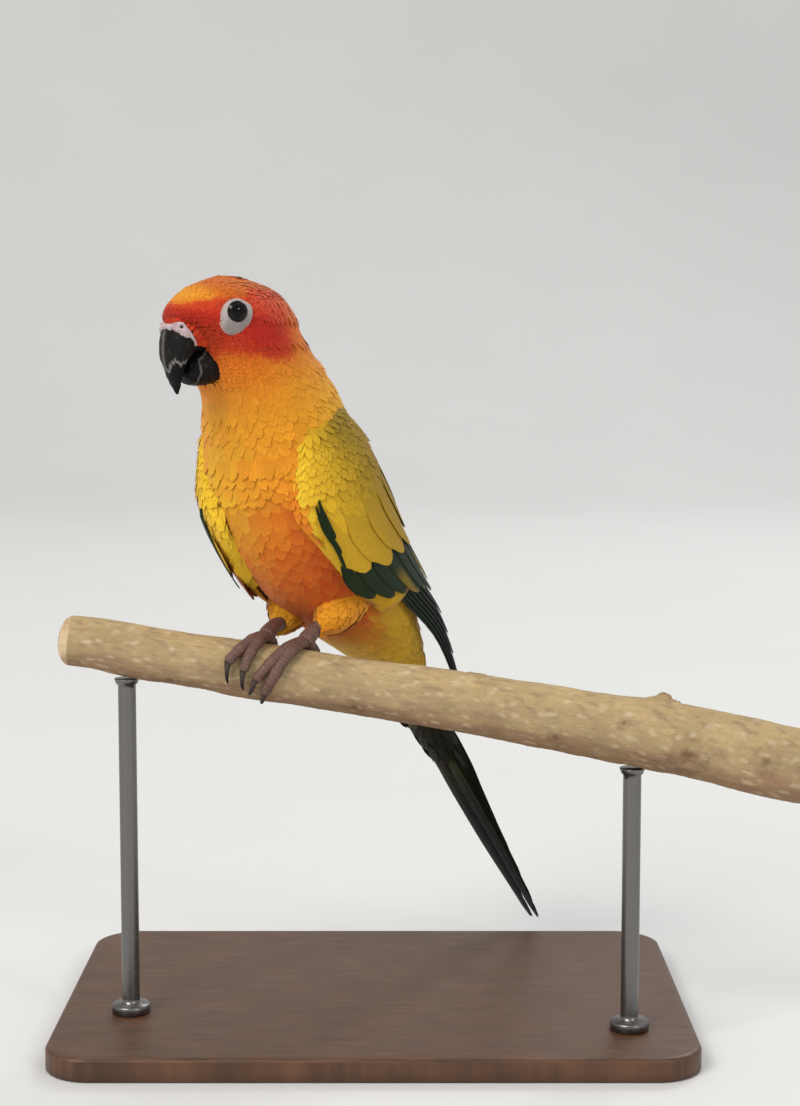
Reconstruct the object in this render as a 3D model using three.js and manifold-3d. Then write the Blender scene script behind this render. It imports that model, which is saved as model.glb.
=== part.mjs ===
// A sun conure on a cut length of branch, held up by a plain display stand.
// Millimetres, +Z up. The origin is the centre of the stand base's underside.
// Bird axes are left, back and up, from the point of the branch's axis between its feet.
import * as THREE from "three";
import Module from "manifold-3d";

const wasm = await Module();
wasm.setup();

// Driving sizes
const GAP = 0.3;
const DEG = Math.PI / 180;
const BODY_TURN = 32;
const GRIP = new THREE.Vector3(-33, -30, 126);
const UP = new THREE.Vector3(0, 0, 1);

// The body from the tail root to the crown. A ring lies across the spine, leans back by lean
// degrees and turns to the bird's right by turn degrees. Front and rear are its half depths.
const BODY_RINGS = [
  { name: "tail_root", back: 75, up: -11, lean: 46, half: 9.5, front: 6.5, rear: 6, turn: -7, side: 2.8 },
  { name: "vent", back: 65, up: 0, lean: 46, half: 14.5, front: 9, rear: 9.5, turn: -5, side: 2.6 },
  { name: "rump", back: 52, up: 13, lean: 45, half: 20, front: 15, rear: 14.5, turn: -3, side: 1.4 },
  { name: "hips", back: 38, up: 29, lean: 43, half: 24, front: 22.5, rear: 19, turn: 0, side: 0 },
  { name: "belly", back: 25, up: 44, lean: 40, half: 26.5, front: 27, rear: 22, turn: 0, side: 0 },
  { name: "breast", back: 13, up: 58, lean: 36, half: 27.5, front: 27.5, rear: 24.5, turn: 0, side: 0 },
  { name: "shoulders", back: 3, up: 72, lean: 32, half: 27, front: 24.5, rear: 26.5, turn: 2, side: 0 },
  { name: "neck_base", back: -5, up: 84, lean: 27, half: 23.5, front: 18.5, rear: 27.5, turn: 6, side: 0 },
  { name: "neck", back: -12, up: 94, lean: 20, half: 19.5, front: 14.5, rear: 27, turn: 11, side: 0 },
  { name: "jaw", back: -18, up: 102, lean: 12, half: 18, front: 13.5, rear: 27, turn: 16, side: -1 },
  { name: "cheek", back: -22.5, up: 110, lean: 6, half: 18, front: 13.5, rear: 27, turn: 18, side: -2 },
  { name: "brow", back: -24, up: 118.5, lean: 3, half: 17, front: 20, rear: 25, turn: 18, side: -2.5 },
  { name: "crown", back: -23.5, up: 125.8, lean: 0, half: 12.6, front: 14, rear: 18.5, turn: 18, side: -2.5 },
  { name: "top", back: -22.5, up: 130, lean: 0, half: 4, front: 5, rear: 6.5, turn: 18, side: -2.5 },
];
const NECK_AT = 7;
const HEAD_AT = 9;
const RING_STEP = 10;

// The folded wings' outer surface, in rings every 20 mm from the shoulder to the tip.
const WING_STEP = 20;
const WING_RINGS = [
  { name: "shoulder", back: -5, up: 84, lean: 28, half: 26, front: 22, rear: 28, turn: 5, side: 0 },
  { name: "wrist", back: 5.5, up: 67, lean: 33, half: 31.5, front: 31, rear: 29.5, turn: 1, side: 0 },
  { name: "coverts", back: 17.5, up: 51, lean: 37, half: 33, front: 32, rear: 28, turn: 0, side: 0 },
  { name: "elbow", back: 30.5, up: 36, lean: 41, half: 32.5, front: 30, rear: 26, turn: 0, side: 0 },
  { name: "secondaries", back: 44.5, up: 21.5, lean: 44, half: 31, front: 26, rear: 26, turn: 0, side: 0.5 },
  { name: "rump", back: 58, up: 7, lean: 45, half: 30, front: 21, rear: 24, turn: -3, side: 2 },
  { name: "tail_base", back: 71.5, up: -8, lean: 46, half: 27, front: 18, rear: 21.5, turn: -5, side: 3 },
  { name: "primaries", back: 84, up: -23.5, lean: 43, half: 23, front: 16, rear: 19, turn: -6, side: 4 },
  { name: "tip", back: 96, up: -39.5, lean: 40, half: 19.5, front: 15, rear: 18, turn: -7, side: 5 },
];
// Where each wing's front and back edges lie on those rings, in degrees from the breast's middle.
const LEFT_FRONT = [60, 38, 44, 48, 58, 68, 74, 80, 90];
const RIGHT_FRONT = [60, 24, 24, 34, 52, 66, 74, 80, 90];
const BACK_EDGE = [128, 150, 162, 168, 168, 164, 156, 148, 140];

// The tail, from its root along its length.
const TAIL_ROOT = { left: 2, back: 74, up: -10 };
const TAIL_WAY = { left: 0.12, back: 0.59, up: -0.798 };
const TAIL_LENGTH = 132;

// The branch's axis from its free end to its cut end, from the grip point, with its radius.
const BRANCH = [
  { x: -69, y: 5, z: 9.8, radius: 8.4 },
  { x: -45, y: 4, z: 6.1, radius: 8.9 },
  { x: -20, y: 2, z: 2.4, radius: 9.1 },
  { x: 13, y: -1, z: -2.4, radius: 9.4 },
  { x: 50, y: -5, z: -7.4, radius: 9.8 },
  { x: 95, y: -10, z: -14.2, radius: 10.6 },
  { x: 138, y: -16, z: -20.6, radius: 11.7 },
  { x: 178, y: -20, z: -28.2, radius: 12.4 },
];

const BASE = { width: 214, depth: 146, thick: 8, edge: 1.5, corner: 16 };
const ROD = { radius: 3, at: [-50, 118] };

function spline(values, t) {
  const last = values.length - 1;
  const i = Math.max(0, Math.min(Math.floor(t), last - 1));
  const u = t - i;
  const a = values[Math.max(i - 1, 0)];
  const b = values[i];
  const c = values[i + 1];
  const d = values[Math.min(i + 2, last)];
  return b + 0.5 * u * (c - a + u * (2 * a - 5 * b + 4 * c - d + u * (3 * b - a - 3 * c + d)));
}

function ringAt(rings, t) {
  const ring = {};
  for (const key of Object.keys(rings[0]))
    if (key !== "name") ring[key] = spline(rings.map((r) => r[key]), t);
  return ring;
}

function fromBird(left, back, up) {
  return new THREE.Vector3(left, back, up).applyAxisAngle(UP, -BODY_TURN * DEG);
}

// A point on a ring: angle 0 is the front, 90 degrees the left side and 180 the back.
function ringPoint(ring, angle, out = 0) {
  const deep = (Math.cos(angle) > 0 ? ring.front : ring.rear) + out;
  const forward = Math.cos(angle) * deep;
  const left = Math.sin(angle) * (ring.half + out);
  const level = -forward * Math.cos(ring.lean * DEG);
  const turn = ring.turn * DEG;
  return fromBird(
    ring.side + left * Math.cos(turn) + level * Math.sin(turn),
    ring.back + level * Math.cos(turn) - left * Math.sin(turn),
    ring.up - forward * Math.sin(ring.lean * DEG),
  );
}

// A closed manifold from points and triangles, turned the right way out.
function solid(points, faces) {
  const vertProperties = new Float32Array(points.flatMap((p) => [p.x, p.y, p.z]));
  const make = (order) =>
    new wasm.Manifold(
      new wasm.Mesh({ numProp: 3, vertProperties, triVerts: new Uint32Array(faces.flatMap(order)) }),
    );
  const made = make((f) => f);
  return made.volume() < 0 ? make((f) => [f[0], f[2], f[1]]) : made;
}

// One closed surface through rings of equal count, with a fan at each end.
function loft(rings) {
  const count = rings[0].length;
  const points = rings.flat();
  const faces = [];
  for (let k = 0; k + 1 < rings.length; k++)
    for (let j = 0; j < count; j++) {
      const a = k * count + j;
      const b = k * count + ((j + 1) % count);
      faces.push([a, b, b + count], [a, b + count, a + count]);
    }
  for (const end of [0, rings.length - 1]) {
    const middle = new THREE.Vector3();
    rings[end].forEach((p) => middle.addScaledVector(p, 1 / count));
    points.push(middle);
    for (let j = 0; j < count; j++) {
      const a = end * count + j;
      const b = end * count + ((j + 1) % count);
      faces.push(end ? [a, b, points.length - 1] : [b, a, points.length - 1]);
    }
  }
  return solid(points, faces);
}

// A closed plate between two grids of points, split alike on both faces.
function plate(top, bottom) {
  const rows = top.length;
  const cols = top[0].length;
  const points = [...top.flat(), ...bottom.flat()];
  const under = rows * cols;
  const faces = [];
  for (let i = 0; i + 1 < rows; i++)
    for (let j = 0; j + 1 < cols; j++) {
      const a = i * cols + j;
      const b = a + 1;
      const c = a + cols;
      const d = c + 1;
      faces.push([a, b, d], [a, d, c], [under + a, under + d, under + b], [under + a, under + c, under + d]);
    }
  const edge = [];
  for (let j = 0; j < cols - 1; j++) edge.push(j);
  for (let i = 0; i < rows - 1; i++) edge.push(i * cols + cols - 1);
  for (let j = cols - 1; j > 0; j--) edge.push((rows - 1) * cols + j);
  for (let i = rows - 1; i > 0; i--) edge.push(i * cols);
  edge.forEach((a, k) => {
    const b = edge[(k + 1) % edge.length];
    faces.push([a, under + a, under + b], [a, under + b, b]);
  });
  return solid(points, faces);
}

// A tube of varying radius along a path of points, closed flat at its ends.
function tube(path, radii, around) {
  const rings = [];
  const side = new THREE.Vector3();
  for (let k = 0; k < path.length; k++) {
    const along = path[Math.min(k + 1, path.length - 1)].clone().sub(path[Math.max(k - 1, 0)]).normalize();
    if (!k) side.crossVectors(along, Math.abs(along.z) < 0.9 ? UP : new THREE.Vector3(1, 0, 0));
    side.addScaledVector(along, -side.dot(along)).normalize();
    const other = new THREE.Vector3().crossVectors(along, side);
    rings.push(
      Array.from({ length: around }, (_, j) => {
        const a = (j / around) * 2 * Math.PI;
        return path[k]
          .clone()
          .addScaledVector(side, Math.cos(a) * radii[k])
          .addScaledVector(other, Math.sin(a) * radii[k]);
      }),
    );
  }
  return loft(rings);
}

const group = new THREE.Group();
group.position.copy(GRIP);

function add(name, made, colour, roughness = 0.8, metalness = 0) {
  const largest = made.decompose().sort((a, b) => b.volume() - a.volume())[0];
  const { vertProperties, triVerts } = largest.getMesh();
  const geometry = new THREE.BufferGeometry()
    .setAttribute("position", new THREE.BufferAttribute(new Float32Array(vertProperties), 3))
    .setIndex(new THREE.BufferAttribute(triVerts, 1));
  const material = new THREE.MeshStandardMaterial({ color: colour, roughness, metalness });
  const mesh = new THREE.Mesh(geometry, material);
  mesh.name = name;
  group.add(mesh);
}

const lerp = (a, b, q) => a + (b - a) * q;
const steps = (count) => Array.from({ length: count + 1 }, (_, k) => k / count);

// Body, neck and head
const BODY_AROUND = 24;
function bodyPart(from, to, count, out = 0) {
  return loft(
    steps(count).map((q) => {
      const ring = ringAt(BODY_RINGS, lerp(from, to, q));
      return steps(BODY_AROUND)
        .slice(1)
        .map((turn) => ringPoint(ring, turn * 2 * Math.PI, out));
    }),
  );
}
const PART = {
  torso: [0, NECK_AT, 14],
  neck: [NECK_AT, HEAD_AT, 4],
  head: [HEAD_AT, BODY_RINGS.length - 1, 10],
};
const START_GAP = GAP / RING_STEP;
const CLEAR = bodyPart(...PART.torso, GAP).add(bodyPart(...PART.neck, GAP)).add(bodyPart(...PART.head, GAP));

// The head's own axes are forward, left and up from its middle.
const HEAD = { side: -2.2, back: -23.5, up: 113, turn: 18 };
function fromHead(forward, left, up) {
  const turn = HEAD.turn * DEG;
  return fromBird(
    HEAD.side + left * Math.cos(turn) - forward * Math.sin(turn),
    HEAD.back - forward * Math.cos(turn) - left * Math.sin(turn),
    HEAD.up + up,
  );
}

const EYE = {
  ring: 11.05,
  angle: 73,
  ball: 4.3,
  sunk: 2.0,
  lidIn: 3.35,
  lidOut: 6.3,
  lidHigh: 0.7,
  opening: 3,
};
// The lid's section: distance along the eye's axis and radius, from inside the head to the rim.
const LID = [
  [-4, 5],
  [-0.2, EYE.lidOut],
  [0.45, EYE.lidOut - 0.5],
  [EYE.lidHigh, EYE.lidIn + 0.9],
  [EYE.lidHigh + 0.5, EYE.lidIn],
];
const EYE_HOLE = [
  [-1, EYE.lidIn - 0.1],
  [4, EYE.lidIn - 0.1],
];
// What is left of the ball behind the lid: a plug as wide as the opening, with the ball's front.
const EYE_PLUG = [
  [-9, EYE.opening],
  [-EYE.sunk, EYE.opening],
  [-EYE.sunk + 0.1, EYE.opening],
  [6, EYE.opening],
];
function eyeFrame(side) {
  const ring = ringAt(BODY_RINGS, EYE.ring);
  const at = ringPoint(ring, side * EYE.angle * DEG);
  const out = fromHead(0.3, side * 0.95, 0.04).sub(fromHead(0, 0, 0)).normalize();
  return { at, out };
}
// A short round piece on an axis, from its profile of distance along the axis and radius.
function turned(at, out, profile, around) {
  const side = new THREE.Vector3().crossVectors(out, UP).normalize();
  const other = new THREE.Vector3().crossVectors(out, side);
  return loft(
    profile.map(([along, radius]) =>
      Array.from({ length: around }, (_, j) => {
        const a = (j / around) * 2 * Math.PI;
        return at
          .clone()
          .addScaledVector(out, along)
          .addScaledVector(side, Math.cos(a) * radius)
          .addScaledVector(other, Math.sin(a) * radius * 1.08);
      }),
    ),
  );
}
const BALL_STEPS = 6;
const POLE = 0.15;
function ballProfile(radius, middle) {
  return steps(BALL_STEPS).map((q) => {
    const a = q * Math.PI;
    return [middle - radius * Math.cos(a), Math.max(POLE, radius * Math.sin(a))];
  });
}

const NECK_TOP = bodyPart(HEAD_AT - 1, HEAD_AT + START_GAP, 1, 4);
let head = bodyPart(...PART.head).subtract(NECK_TOP);
const EYE_AROUND = 12;
const LID_AROUND = 14;
for (const side of [1, -1]) {
  const { at, out } = eyeFrame(side);
  const lid = turned(at, out, LID, LID_AROUND);
  const pocket = turned(at, out, ballProfile(EYE.ball + GAP, -EYE.sunk), EYE_AROUND);
  const hole = turned(at, out, EYE_HOLE, EYE_AROUND);
  head = head.add(lid).subtract(pocket).subtract(hole);
}
add("head", head, 0xd2531f);
for (const side of [1, -1]) {
  const { at, out } = eyeFrame(side);
  const ball = turned(at, out, ballProfile(EYE.ball, -EYE.sunk), EYE_AROUND);
  const plug = turned(at, out, EYE_PLUG, EYE_AROUND);
  add(side > 0 ? "eye_left" : "eye_right", ball.intersect(plug), 0x140c08, 0.1);
}

// Bill: each ring runs from its culmen point to its cutting edge, forward and up of the head's middle.
const UPPER_BILL = [
  { f1: 13, u1: 5.5, f2: 7, u2: -7, half: 7.2 },
  { f1: 19.5, u1: 4.2, f2: 13, u2: -7.2, half: 7.3 },
  { f1: 22, u1: -1, f2: 15.3, u2: -8.8, half: 6.7 },
  { f1: 22.6, u1: -7, f2: 16.6, u2: -11.2, half: 5.6 },
  { f1: 21.6, u1: -12.6, f2: 17.4, u2: -13.9, half: 4 },
  { f1: 20.1, u1: -16.8, f2: 17.6, u2: -16.8, half: 2.2 },
  { f1: 18.6, u1: -19.8, f2: 17.9, u2: -19.5, half: 0.5 },
];
const LOWER_BILL = [
  { f1: 4, u1: -5.5, f2: 2, u2: -16, half: 6.6 },
  { f1: 8.6, u1: -6, f2: 6, u2: -17.6, half: 6.9 },
  { f1: 12.2, u1: -8.2, f2: 8.8, u2: -18.6, half: 6.3 },
  { f1: 14.8, u1: -11.2, f2: 11.6, u2: -18.4, half: 5.2 },
  { f1: 15.6, u1: -14.2, f2: 13.8, u2: -17.5, half: 3 },
];
function billRing(rings, t, around, out, from = 0, to = 360) {
  const r = {};
  for (const key of Object.keys(rings[0])) r[key] = spline(rings.map((x) => x[key]), t);
  const f = (r.f1 - r.f2) / 2;
  const u = (r.u1 - r.u2) / 2;
  const size = Math.hypot(f, u);
  return steps(around).map((q) => {
    const a = lerp(from, to, q) * DEG;
    const c = Math.cos(a) * (1 + out / size);
    return fromHead((r.f1 + r.f2) / 2 + f * c, Math.sin(a) * (r.half + out), (r.u1 + r.u2) / 2 + u * c);
  });
}
function bill(rings, count, out = 0) {
  return loft(steps(count).map((q) => billRing(rings, q * (rings.length - 1), 16, out).slice(1)));
}
const upper = bill(UPPER_BILL, 12);
add("bill_upper", upper.subtract(CLEAR), 0x23211f, 0.45);
add("bill_lower", bill(LOWER_BILL, 8).subtract(CLEAR).subtract(bill(UPPER_BILL, 12, GAP)), 0x1d1b1a, 0.45);
const CERE = {
  from: 0.55,
  to: 1.5,
  low: 0.35,
  high: 1.15,
  edge: 0.75,
  spread: 100,
  rows: 3,
  cols: 10,
  nostril: 0.95,
  nostrilAt: 1.12,
  nostrilAngle: 40,
};
function cereGrid(height) {
  return steps(CERE.rows).map((q) => {
    const t = lerp(CERE.from, CERE.to, q);
    return billRing(UPPER_BILL, t, CERE.cols, height(q), -CERE.spread, CERE.spread);
  });
}
const NOSTRIL = [
  [-3, CERE.nostril],
  [4, CERE.nostril],
];
let cere = plate(
  cereGrid((q) => lerp(CERE.high, CERE.edge, q)),
  cereGrid(() => CERE.low),
).subtract(CLEAR);
for (const side of [1, -1]) {
  const angle = side * CERE.nostrilAngle;
  const at = billRing(UPPER_BILL, CERE.nostrilAt, 1, CERE.low, angle, angle)[0];
  const out = at.clone().sub(fromHead(12, 0, -2)).normalize();
  cere = cere.subtract(turned(at, out, NOSTRIL, 8));
}
add("cere", cere, 0xcfc4c2);

// Wings: a core under the coverts, and tiers of vanes that leave it like shingles. A place on
// a wing is its distance from the shoulder, its share of the way from the front edge to the back
// edge, and its height from the outer surface.
const WING = { deep: 5.6, seat: 6.0, thick: 0.55, slope: 0.135, bent: 50 };
const DEEP_CORE = [-3.4, 0, -1.9, -3.7, -4.9, -5.2];
const CORE_LONG = 78;
const SEAT_GAP = 0.35;
const TIERS = [
  { name: "median", count: 6, from: 12, level: -0.45, tip: [29, 44, 42], wide: 1.3, reach: [0, 1] },
  { name: "greater", count: 7, from: 25, level: -2.1, tip: [47, 62, 58], wide: 1.34, reach: [0, 1] },
  { name: "secondary", count: 8, from: 40, level: -3.75, tip: [62, 88, 82], wide: 1.3, reach: [0.02, 0.98] },
];
const PRIMARY = {
  count: 6,
  from: 52,
  level: -4.7,
  drop: 0.86,
  tip: [104, 157],
  at: [0.2, 0.42],
  ends: [0.52, 0.46],
  wide: 6.6,
};

function wingPoint(side, front, at, across, shift, out) {
  const ring = ringAt(WING_RINGS, at / WING_STEP);
  const radius = (ring.half + ring.rear) / 2;
  const angle = lerp(spline(front, at / WING_STEP), spline(BACK_EDGE, at / WING_STEP), across) * DEG;
  return ringPoint(ring, side * (angle + shift / radius), out);
}
function wingSpan(front, at) {
  const ring = ringAt(WING_RINGS, at / WING_STEP);
  const open = spline(BACK_EDGE, at / WING_STEP) - spline(front, at / WING_STEP);
  return open * DEG * ((ring.half + ring.rear) / 2);
}
const WING_ROW = 13;
function wingPlate(side, front, from, to, high, low, margin = 0, cols = 7) {
  const rows = steps(Math.round((to - from) / WING_ROW)).map((q) => lerp(from, to, q));
  const grid = (height) =>
    rows.map((at) =>
      steps(cols).map((v) => wingPoint(side, front, at, v, (2 * v - 1) * margin, height(at, v))),
    );
  return plate(grid(high), grid(low));
}
const CORE_EDGE = 2.2;
function wingCore(side, front) {
  const top = (at, v) => {
    const deep = spline(DEEP_CORE, (at / CORE_LONG) * (DEEP_CORE.length - 1));
    return deep - CORE_EDGE * Math.abs(2 * v - 1) ** 6;
  };
  return wingPlate(side, front, 0, CORE_LONG, top, () => -WING.deep, -0.8);
}
// One vane from its root to its rounded tip. The front edge stands higher than the back edge.
function wingVane(side, front, { from, to, start, end, wide, level, sunk = level }) {
  const qs = from > WING.bent ? [0, 0.3, 0.6, 0.86, 1] : [0, 0.45, 0.84, 1];
  const share = from > WING.bent ? [0.62, 0.95, 1, 0.8, 0.22] : [0.7, 1, 0.84, 0.25];
  const grid = (drop) =>
    qs.map((q, i) =>
      [-1, 0, 1].map((edge) => {
        const shift = (edge * wide * share[i]) / 2;
        const bow = edge ? -0.12 : 0;
        const high = (i ? level : sunk) - WING.slope * shift + bow - drop;
        return wingPoint(side, front, lerp(from, to, q), lerp(start, end, q), shift, high);
      }),
    );
  return plate(grid(0), grid(WING.thick));
}
function tipAt(tier, v) {
  return v < 0.5 ? lerp(tier.tip[0], tier.tip[1], v * 2) : lerp(tier.tip[1], tier.tip[2], v * 2 - 1);
}
function wing(side, front) {
  let made = wingCore(side, front);
  for (const tier of TIERS)
    for (let k = 0; k < tier.count; k++) {
      const v = lerp(tier.reach[0], tier.reach[1], (k + 0.5) / tier.count);
      const to = tipAt(tier, v) + (k % 2) * 1.5;
      const wide = (wingSpan(front, lerp(tier.from, to, 0.6)) / tier.count) * tier.wide;
      const vane = { from: tier.from, to, start: v, end: v, wide, level: tier.level };
      made = made.add(wingVane(side, front, vane));
    }
  for (let k = 0; k < PRIMARY.count; k++) {
    const q = k / (PRIMARY.count - 1);
    const feather = {
      from: PRIMARY.from,
      to: lerp(PRIMARY.tip[0], PRIMARY.tip[1], q),
      start: lerp(PRIMARY.at[1], PRIMARY.at[0], q),
      end: lerp(PRIMARY.ends[0], PRIMARY.ends[1], q),
      wide: PRIMARY.wide,
      level: PRIMARY.level - PRIMARY.drop * k,
      sunk: PRIMARY.level - 0.08 * k,
    };
    made = made.add(wingVane(side, front, feather));
  }
  return made;
}
// The hollow in the body's flank that a wing lies in.
function wingSeat(side, front, shrink) {
  const low = () => shrink - WING.seat;
  return wingPlate(side, front, -3, 88, () => 7, low, 0.9 - shrink, 6);
}
const SIDES = [
  { leg: 0, side: 1, front: LEFT_FRONT },
  { leg: 1, side: -1, front: RIGHT_FRONT },
];
let torso = bodyPart(...PART.torso);
let neck = bodyPart(...PART.neck).subtract(bodyPart(NECK_AT - 1, NECK_AT + START_GAP, 1, 4));
for (const { side, front } of SIDES) {
  torso = torso.subtract(wingSeat(side, front, 0));
  neck = neck.subtract(wingSeat(side, front, 0));
}
add("neck", neck, 0xe0922a);
add("torso", torso, 0xe07a26);

// Tail
const tailAxes = (() => {
  const along = new THREE.Vector3(TAIL_WAY.left, TAIL_WAY.back, TAIL_WAY.up).normalize();
  const left = new THREE.Vector3(1, 0, 0).addScaledVector(along, -along.x).normalize();
  const over = new THREE.Vector3().crossVectors(along, left);
  return { along, left, over };
})();
function fromTail(far, left, over) {
  const p = new THREE.Vector3(TAIL_ROOT.left, TAIL_ROOT.back, TAIL_ROOT.up)
    .addScaledVector(tailAxes.along, far)
    .addScaledVector(tailAxes.left, left)
    .addScaledVector(tailAxes.over, over);
  return fromBird(p.x, p.y, p.z);
}
const TAIL_CORE = [
  [1.6, 8.6, 6],
  [12, 8.6, 5.6],
  [26, 8.3, 4.6],
  [40, 7.4, 3.4],
  [50, 5.4, 1.8],
];
const TAIL_FEATHER = {
  pairs: 6,
  root: 12,
  apart: 2.75,
  apartLeast: 0.17,
  closing: 0.55,
  step: 0.62,
  wide: 5.1,
  bow: 0.1,
  top: 2.3,
  drop: 0.87,
  thick: 0.55,
};
const TAIL_LENGTHS = [TAIL_LENGTH, 124, 112, 99, 86, 73];
function tailCore(out = 0) {
  return loft(
    TAIL_CORE.map(([far, half, high]) =>
      steps(14).slice(1).map((turn) => {
        const a = turn * 2 * Math.PI;
        return fromTail(far, Math.cos(a) * (half + out), Math.sin(a) * (high + out) - 0.3);
      }),
    ),
  );
}
function tailVane(side, k, out = 0) {
  const qs = [0, 0.4, 0.72, 0.93, 1];
  const share = [0.7, 1, 0.92, 0.56, 0.14];
  const level = TAIL_FEATHER.top - TAIL_FEATHER.drop * k;
  const grid = (drop) =>
    qs.map((q, i) =>
      [-1, 0, 1].map((edge) => {
        const far = lerp(TAIL_FEATHER.root, TAIL_LENGTHS[k] + out, q);
        const least = TAIL_FEATHER.apartLeast - out;
        const inner = (TAIL_FEATHER.apart + TAIL_FEATHER.step * k) * lerp(1, TAIL_FEATHER.closing, q ** 2);
        const half = (TAIL_FEATHER.wide * share[i]) / 2 + out;
        const bow = edge ? -TAIL_FEATHER.bow : 0;
        return fromTail(far, side * Math.max(least, inner + edge * half), level + bow - drop);
      }),
    );
  return plate(grid(-out), grid(TAIL_FEATHER.thick + out));
}
function tail(out = 0) {
  let made = tailCore(out);
  for (const side of [1, -1])
    for (let k = 0; k < TAIL_FEATHER.pairs; k++) made = made.add(tailVane(side, k, out));
  return made;
}
function thigh(leg, out = 0) {
  const hip = fromBird(...leg.hip);
  const knee = fromBird(...leg.knee);
  return tube(
    steps(6).map((q) => hip.clone().lerp(knee, q * (1 + (out * q) / hip.distanceTo(knee)))),
    steps(6).map((q) => 9.5 - 1.2 * q - 3.4 * q ** 4 + out),
    14,
  );
}

// Branch
function branchAt(x) {
  const xs = BRANCH.map((b) => b.x);
  let t = 0;
  while (t < xs.length - 2 && xs[t + 1] < x) t++;
  const q = t + (x - xs[t]) / (xs[t + 1] - xs[t]);
  const pick = (key) => spline(BRANCH.map((b) => b[key]), q);
  return { middle: new THREE.Vector3(x, pick("y"), pick("z")), radius: pick("radius") };
}
// A point round the branch: angle 0 is its top and 90 degrees its front.
function branchPoint(x, angle, out) {
  const { middle, radius } = branchAt(x);
  const along = branchAt(x + 1).middle.sub(branchAt(x - 1).middle).normalize();
  const top = UP.clone().addScaledVector(along, -along.z).normalize();
  const front = new THREE.Vector3().crossVectors(top, along).multiplyScalar(-1);
  if (front.y > 0) front.negate();
  return middle
    .addScaledVector(top, Math.cos(angle) * (radius + out))
    .addScaledVector(front, Math.sin(angle) * (radius + out));
}
const BRANCH_AROUND = 18;
const BRANCH_RINGS = 21;
function branch(out = 0) {
  const first = BRANCH[0].x;
  const last = BRANCH[BRANCH.length - 1].x;
  const rings = steps(BRANCH_RINGS).map((q) => {
    const x = lerp(first, last, q);
    return steps(BRANCH_AROUND)
      .slice(1)
      .map((turn) => branchPoint(x, turn * 2 * Math.PI, out));
  });
  return loft(rings);
}
add("branch", branch(), 0xb39a78);
const BRANCH_CLEAR = branch(GAP);

// Legs: thighs from the body, then feet whose toes wrap the branch, then claws.
const LEGS = [
  {
    name: "left",
    hip: [12, 31, 28],
    knee: [10.5, 15, 15],
    joint: { x: 8, angle: -6 },
    toes: [
      { name: "outer", x: -1.2, angle: 118, claw: 42, away: -1.5 },
      { name: "inner", x: -4.6, angle: 96, claw: 42, away: -2.2 },
      { name: "rear_outer", x: 15, angle: -118, claw: -40, away: 2 },
      { name: "rear_inner", x: 8.5, angle: -100, claw: -40, away: 1 },
    ],
  },
  {
    name: "right",
    hip: [-12, 33, 28],
    knee: [-9.5, 18.5, 13.5],
    joint: { x: -5, angle: -6 },
    toes: [
      { name: "outer", x: -14.6, angle: 74, claw: 42, away: 0.8 },
      { name: "inner", x: -9.2, angle: 84, claw: 42, away: 0.6 },
      { name: "rear_outer", x: -8.5, angle: -112, claw: -40, away: -1.5 },
      { name: "rear_inner", x: -1.2, angle: -104, claw: -40, away: -0.5 },
    ],
  },
];
const TOE = { base: 2.1, end: 1.55, claw: 1.35, clawTip: 0.3, arch: 1.3 };

function toePath(leg, toe, q) {
  const past = Math.max(0, q - 1);
  const inside = Math.min(q, 1);
  const angle = lerp(leg.joint.angle, toe.angle, inside) + toe.claw * past;
  const x = lerp(leg.joint.x, toe.x, inside) + toe.away * past;
  const thick = past ? lerp(TOE.claw, TOE.clawTip, past) : lerp(TOE.base, TOE.end, inside);
  return branchPoint(x, angle * DEG, GAP + thick + TOE.arch * Math.sin(Math.PI * past) * 0.9);
}
function toeTube(leg, toe, out = 0) {
  const qs = steps(7);
  const radii = qs.map((q) => lerp(TOE.base, TOE.end, q) + out);
  return tube(qs.map((q) => toePath(leg, toe, q * (1 + 0.02 * out))), radii, 8);
}
for (const leg of LEGS) {
  const hip = fromBird(...leg.hip);
  const knee = fromBird(...leg.knee);
  const ankle = branchPoint(leg.joint.x, leg.joint.angle * DEG, GAP + TOE.base);
  const bend = knee.clone().lerp(ankle, 0.5).add(new THREE.Vector3(0, 1.5, 1.2));
  const shank = tube([knee.clone().lerp(hip, 0.12), knee, bend, ankle], [2.5, 2.5, 2.4, 2.5], 10);
  const shankClear = tube([knee.clone().lerp(hip, 0.14), knee, bend, ankle], [2.8, 2.8, 2.7, 2.8], 10);
  let foot = shank;
  let footClear = shank;
  for (const toe of leg.toes) {
    foot = foot.add(toeTube(leg, toe));
    footClear = footClear.add(toeTube(leg, toe, GAP + 0.1));
  }
  add(`thigh_${leg.name}`, thigh(leg).subtract(CLEAR).subtract(shankClear).subtract(BRANCH_CLEAR), 0xe08a22);
  add(`foot_${leg.name}`, foot.subtract(BRANCH_CLEAR).subtract(CLEAR), 0x8d7776);
  for (const toe of leg.toes) {
    const arc = 20;
    const qs = steps(4).map((q) => 1 + GAP / arc + q * (1 - GAP / arc));
    const claw = tube(
      qs.map((q) => toePath(leg, toe, q)),
      qs.map((q) => lerp(TOE.claw, TOE.clawTip, q - 1)),
      6,
    );
    add(`claw_${leg.name}_${toe.name}`, claw.subtract(BRANCH_CLEAR).subtract(footClear), 0x1f1c1b, 0.5);
  }
}

add("tail", tail().subtract(CLEAR).subtract(BRANCH_CLEAR), 0x3c4a22);
for (const { leg, side, front } of SIDES) {
  const body = CLEAR.subtract(wingSeat(side, front, SEAT_GAP));
  const made = wing(side, front).subtract(body).subtract(tail(GAP)).subtract(thigh(LEGS[leg], GAP));
  add(`wing_${LEGS[leg].name}`, made.subtract(BRANCH_CLEAR), 0xd9b32e);
}

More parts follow.
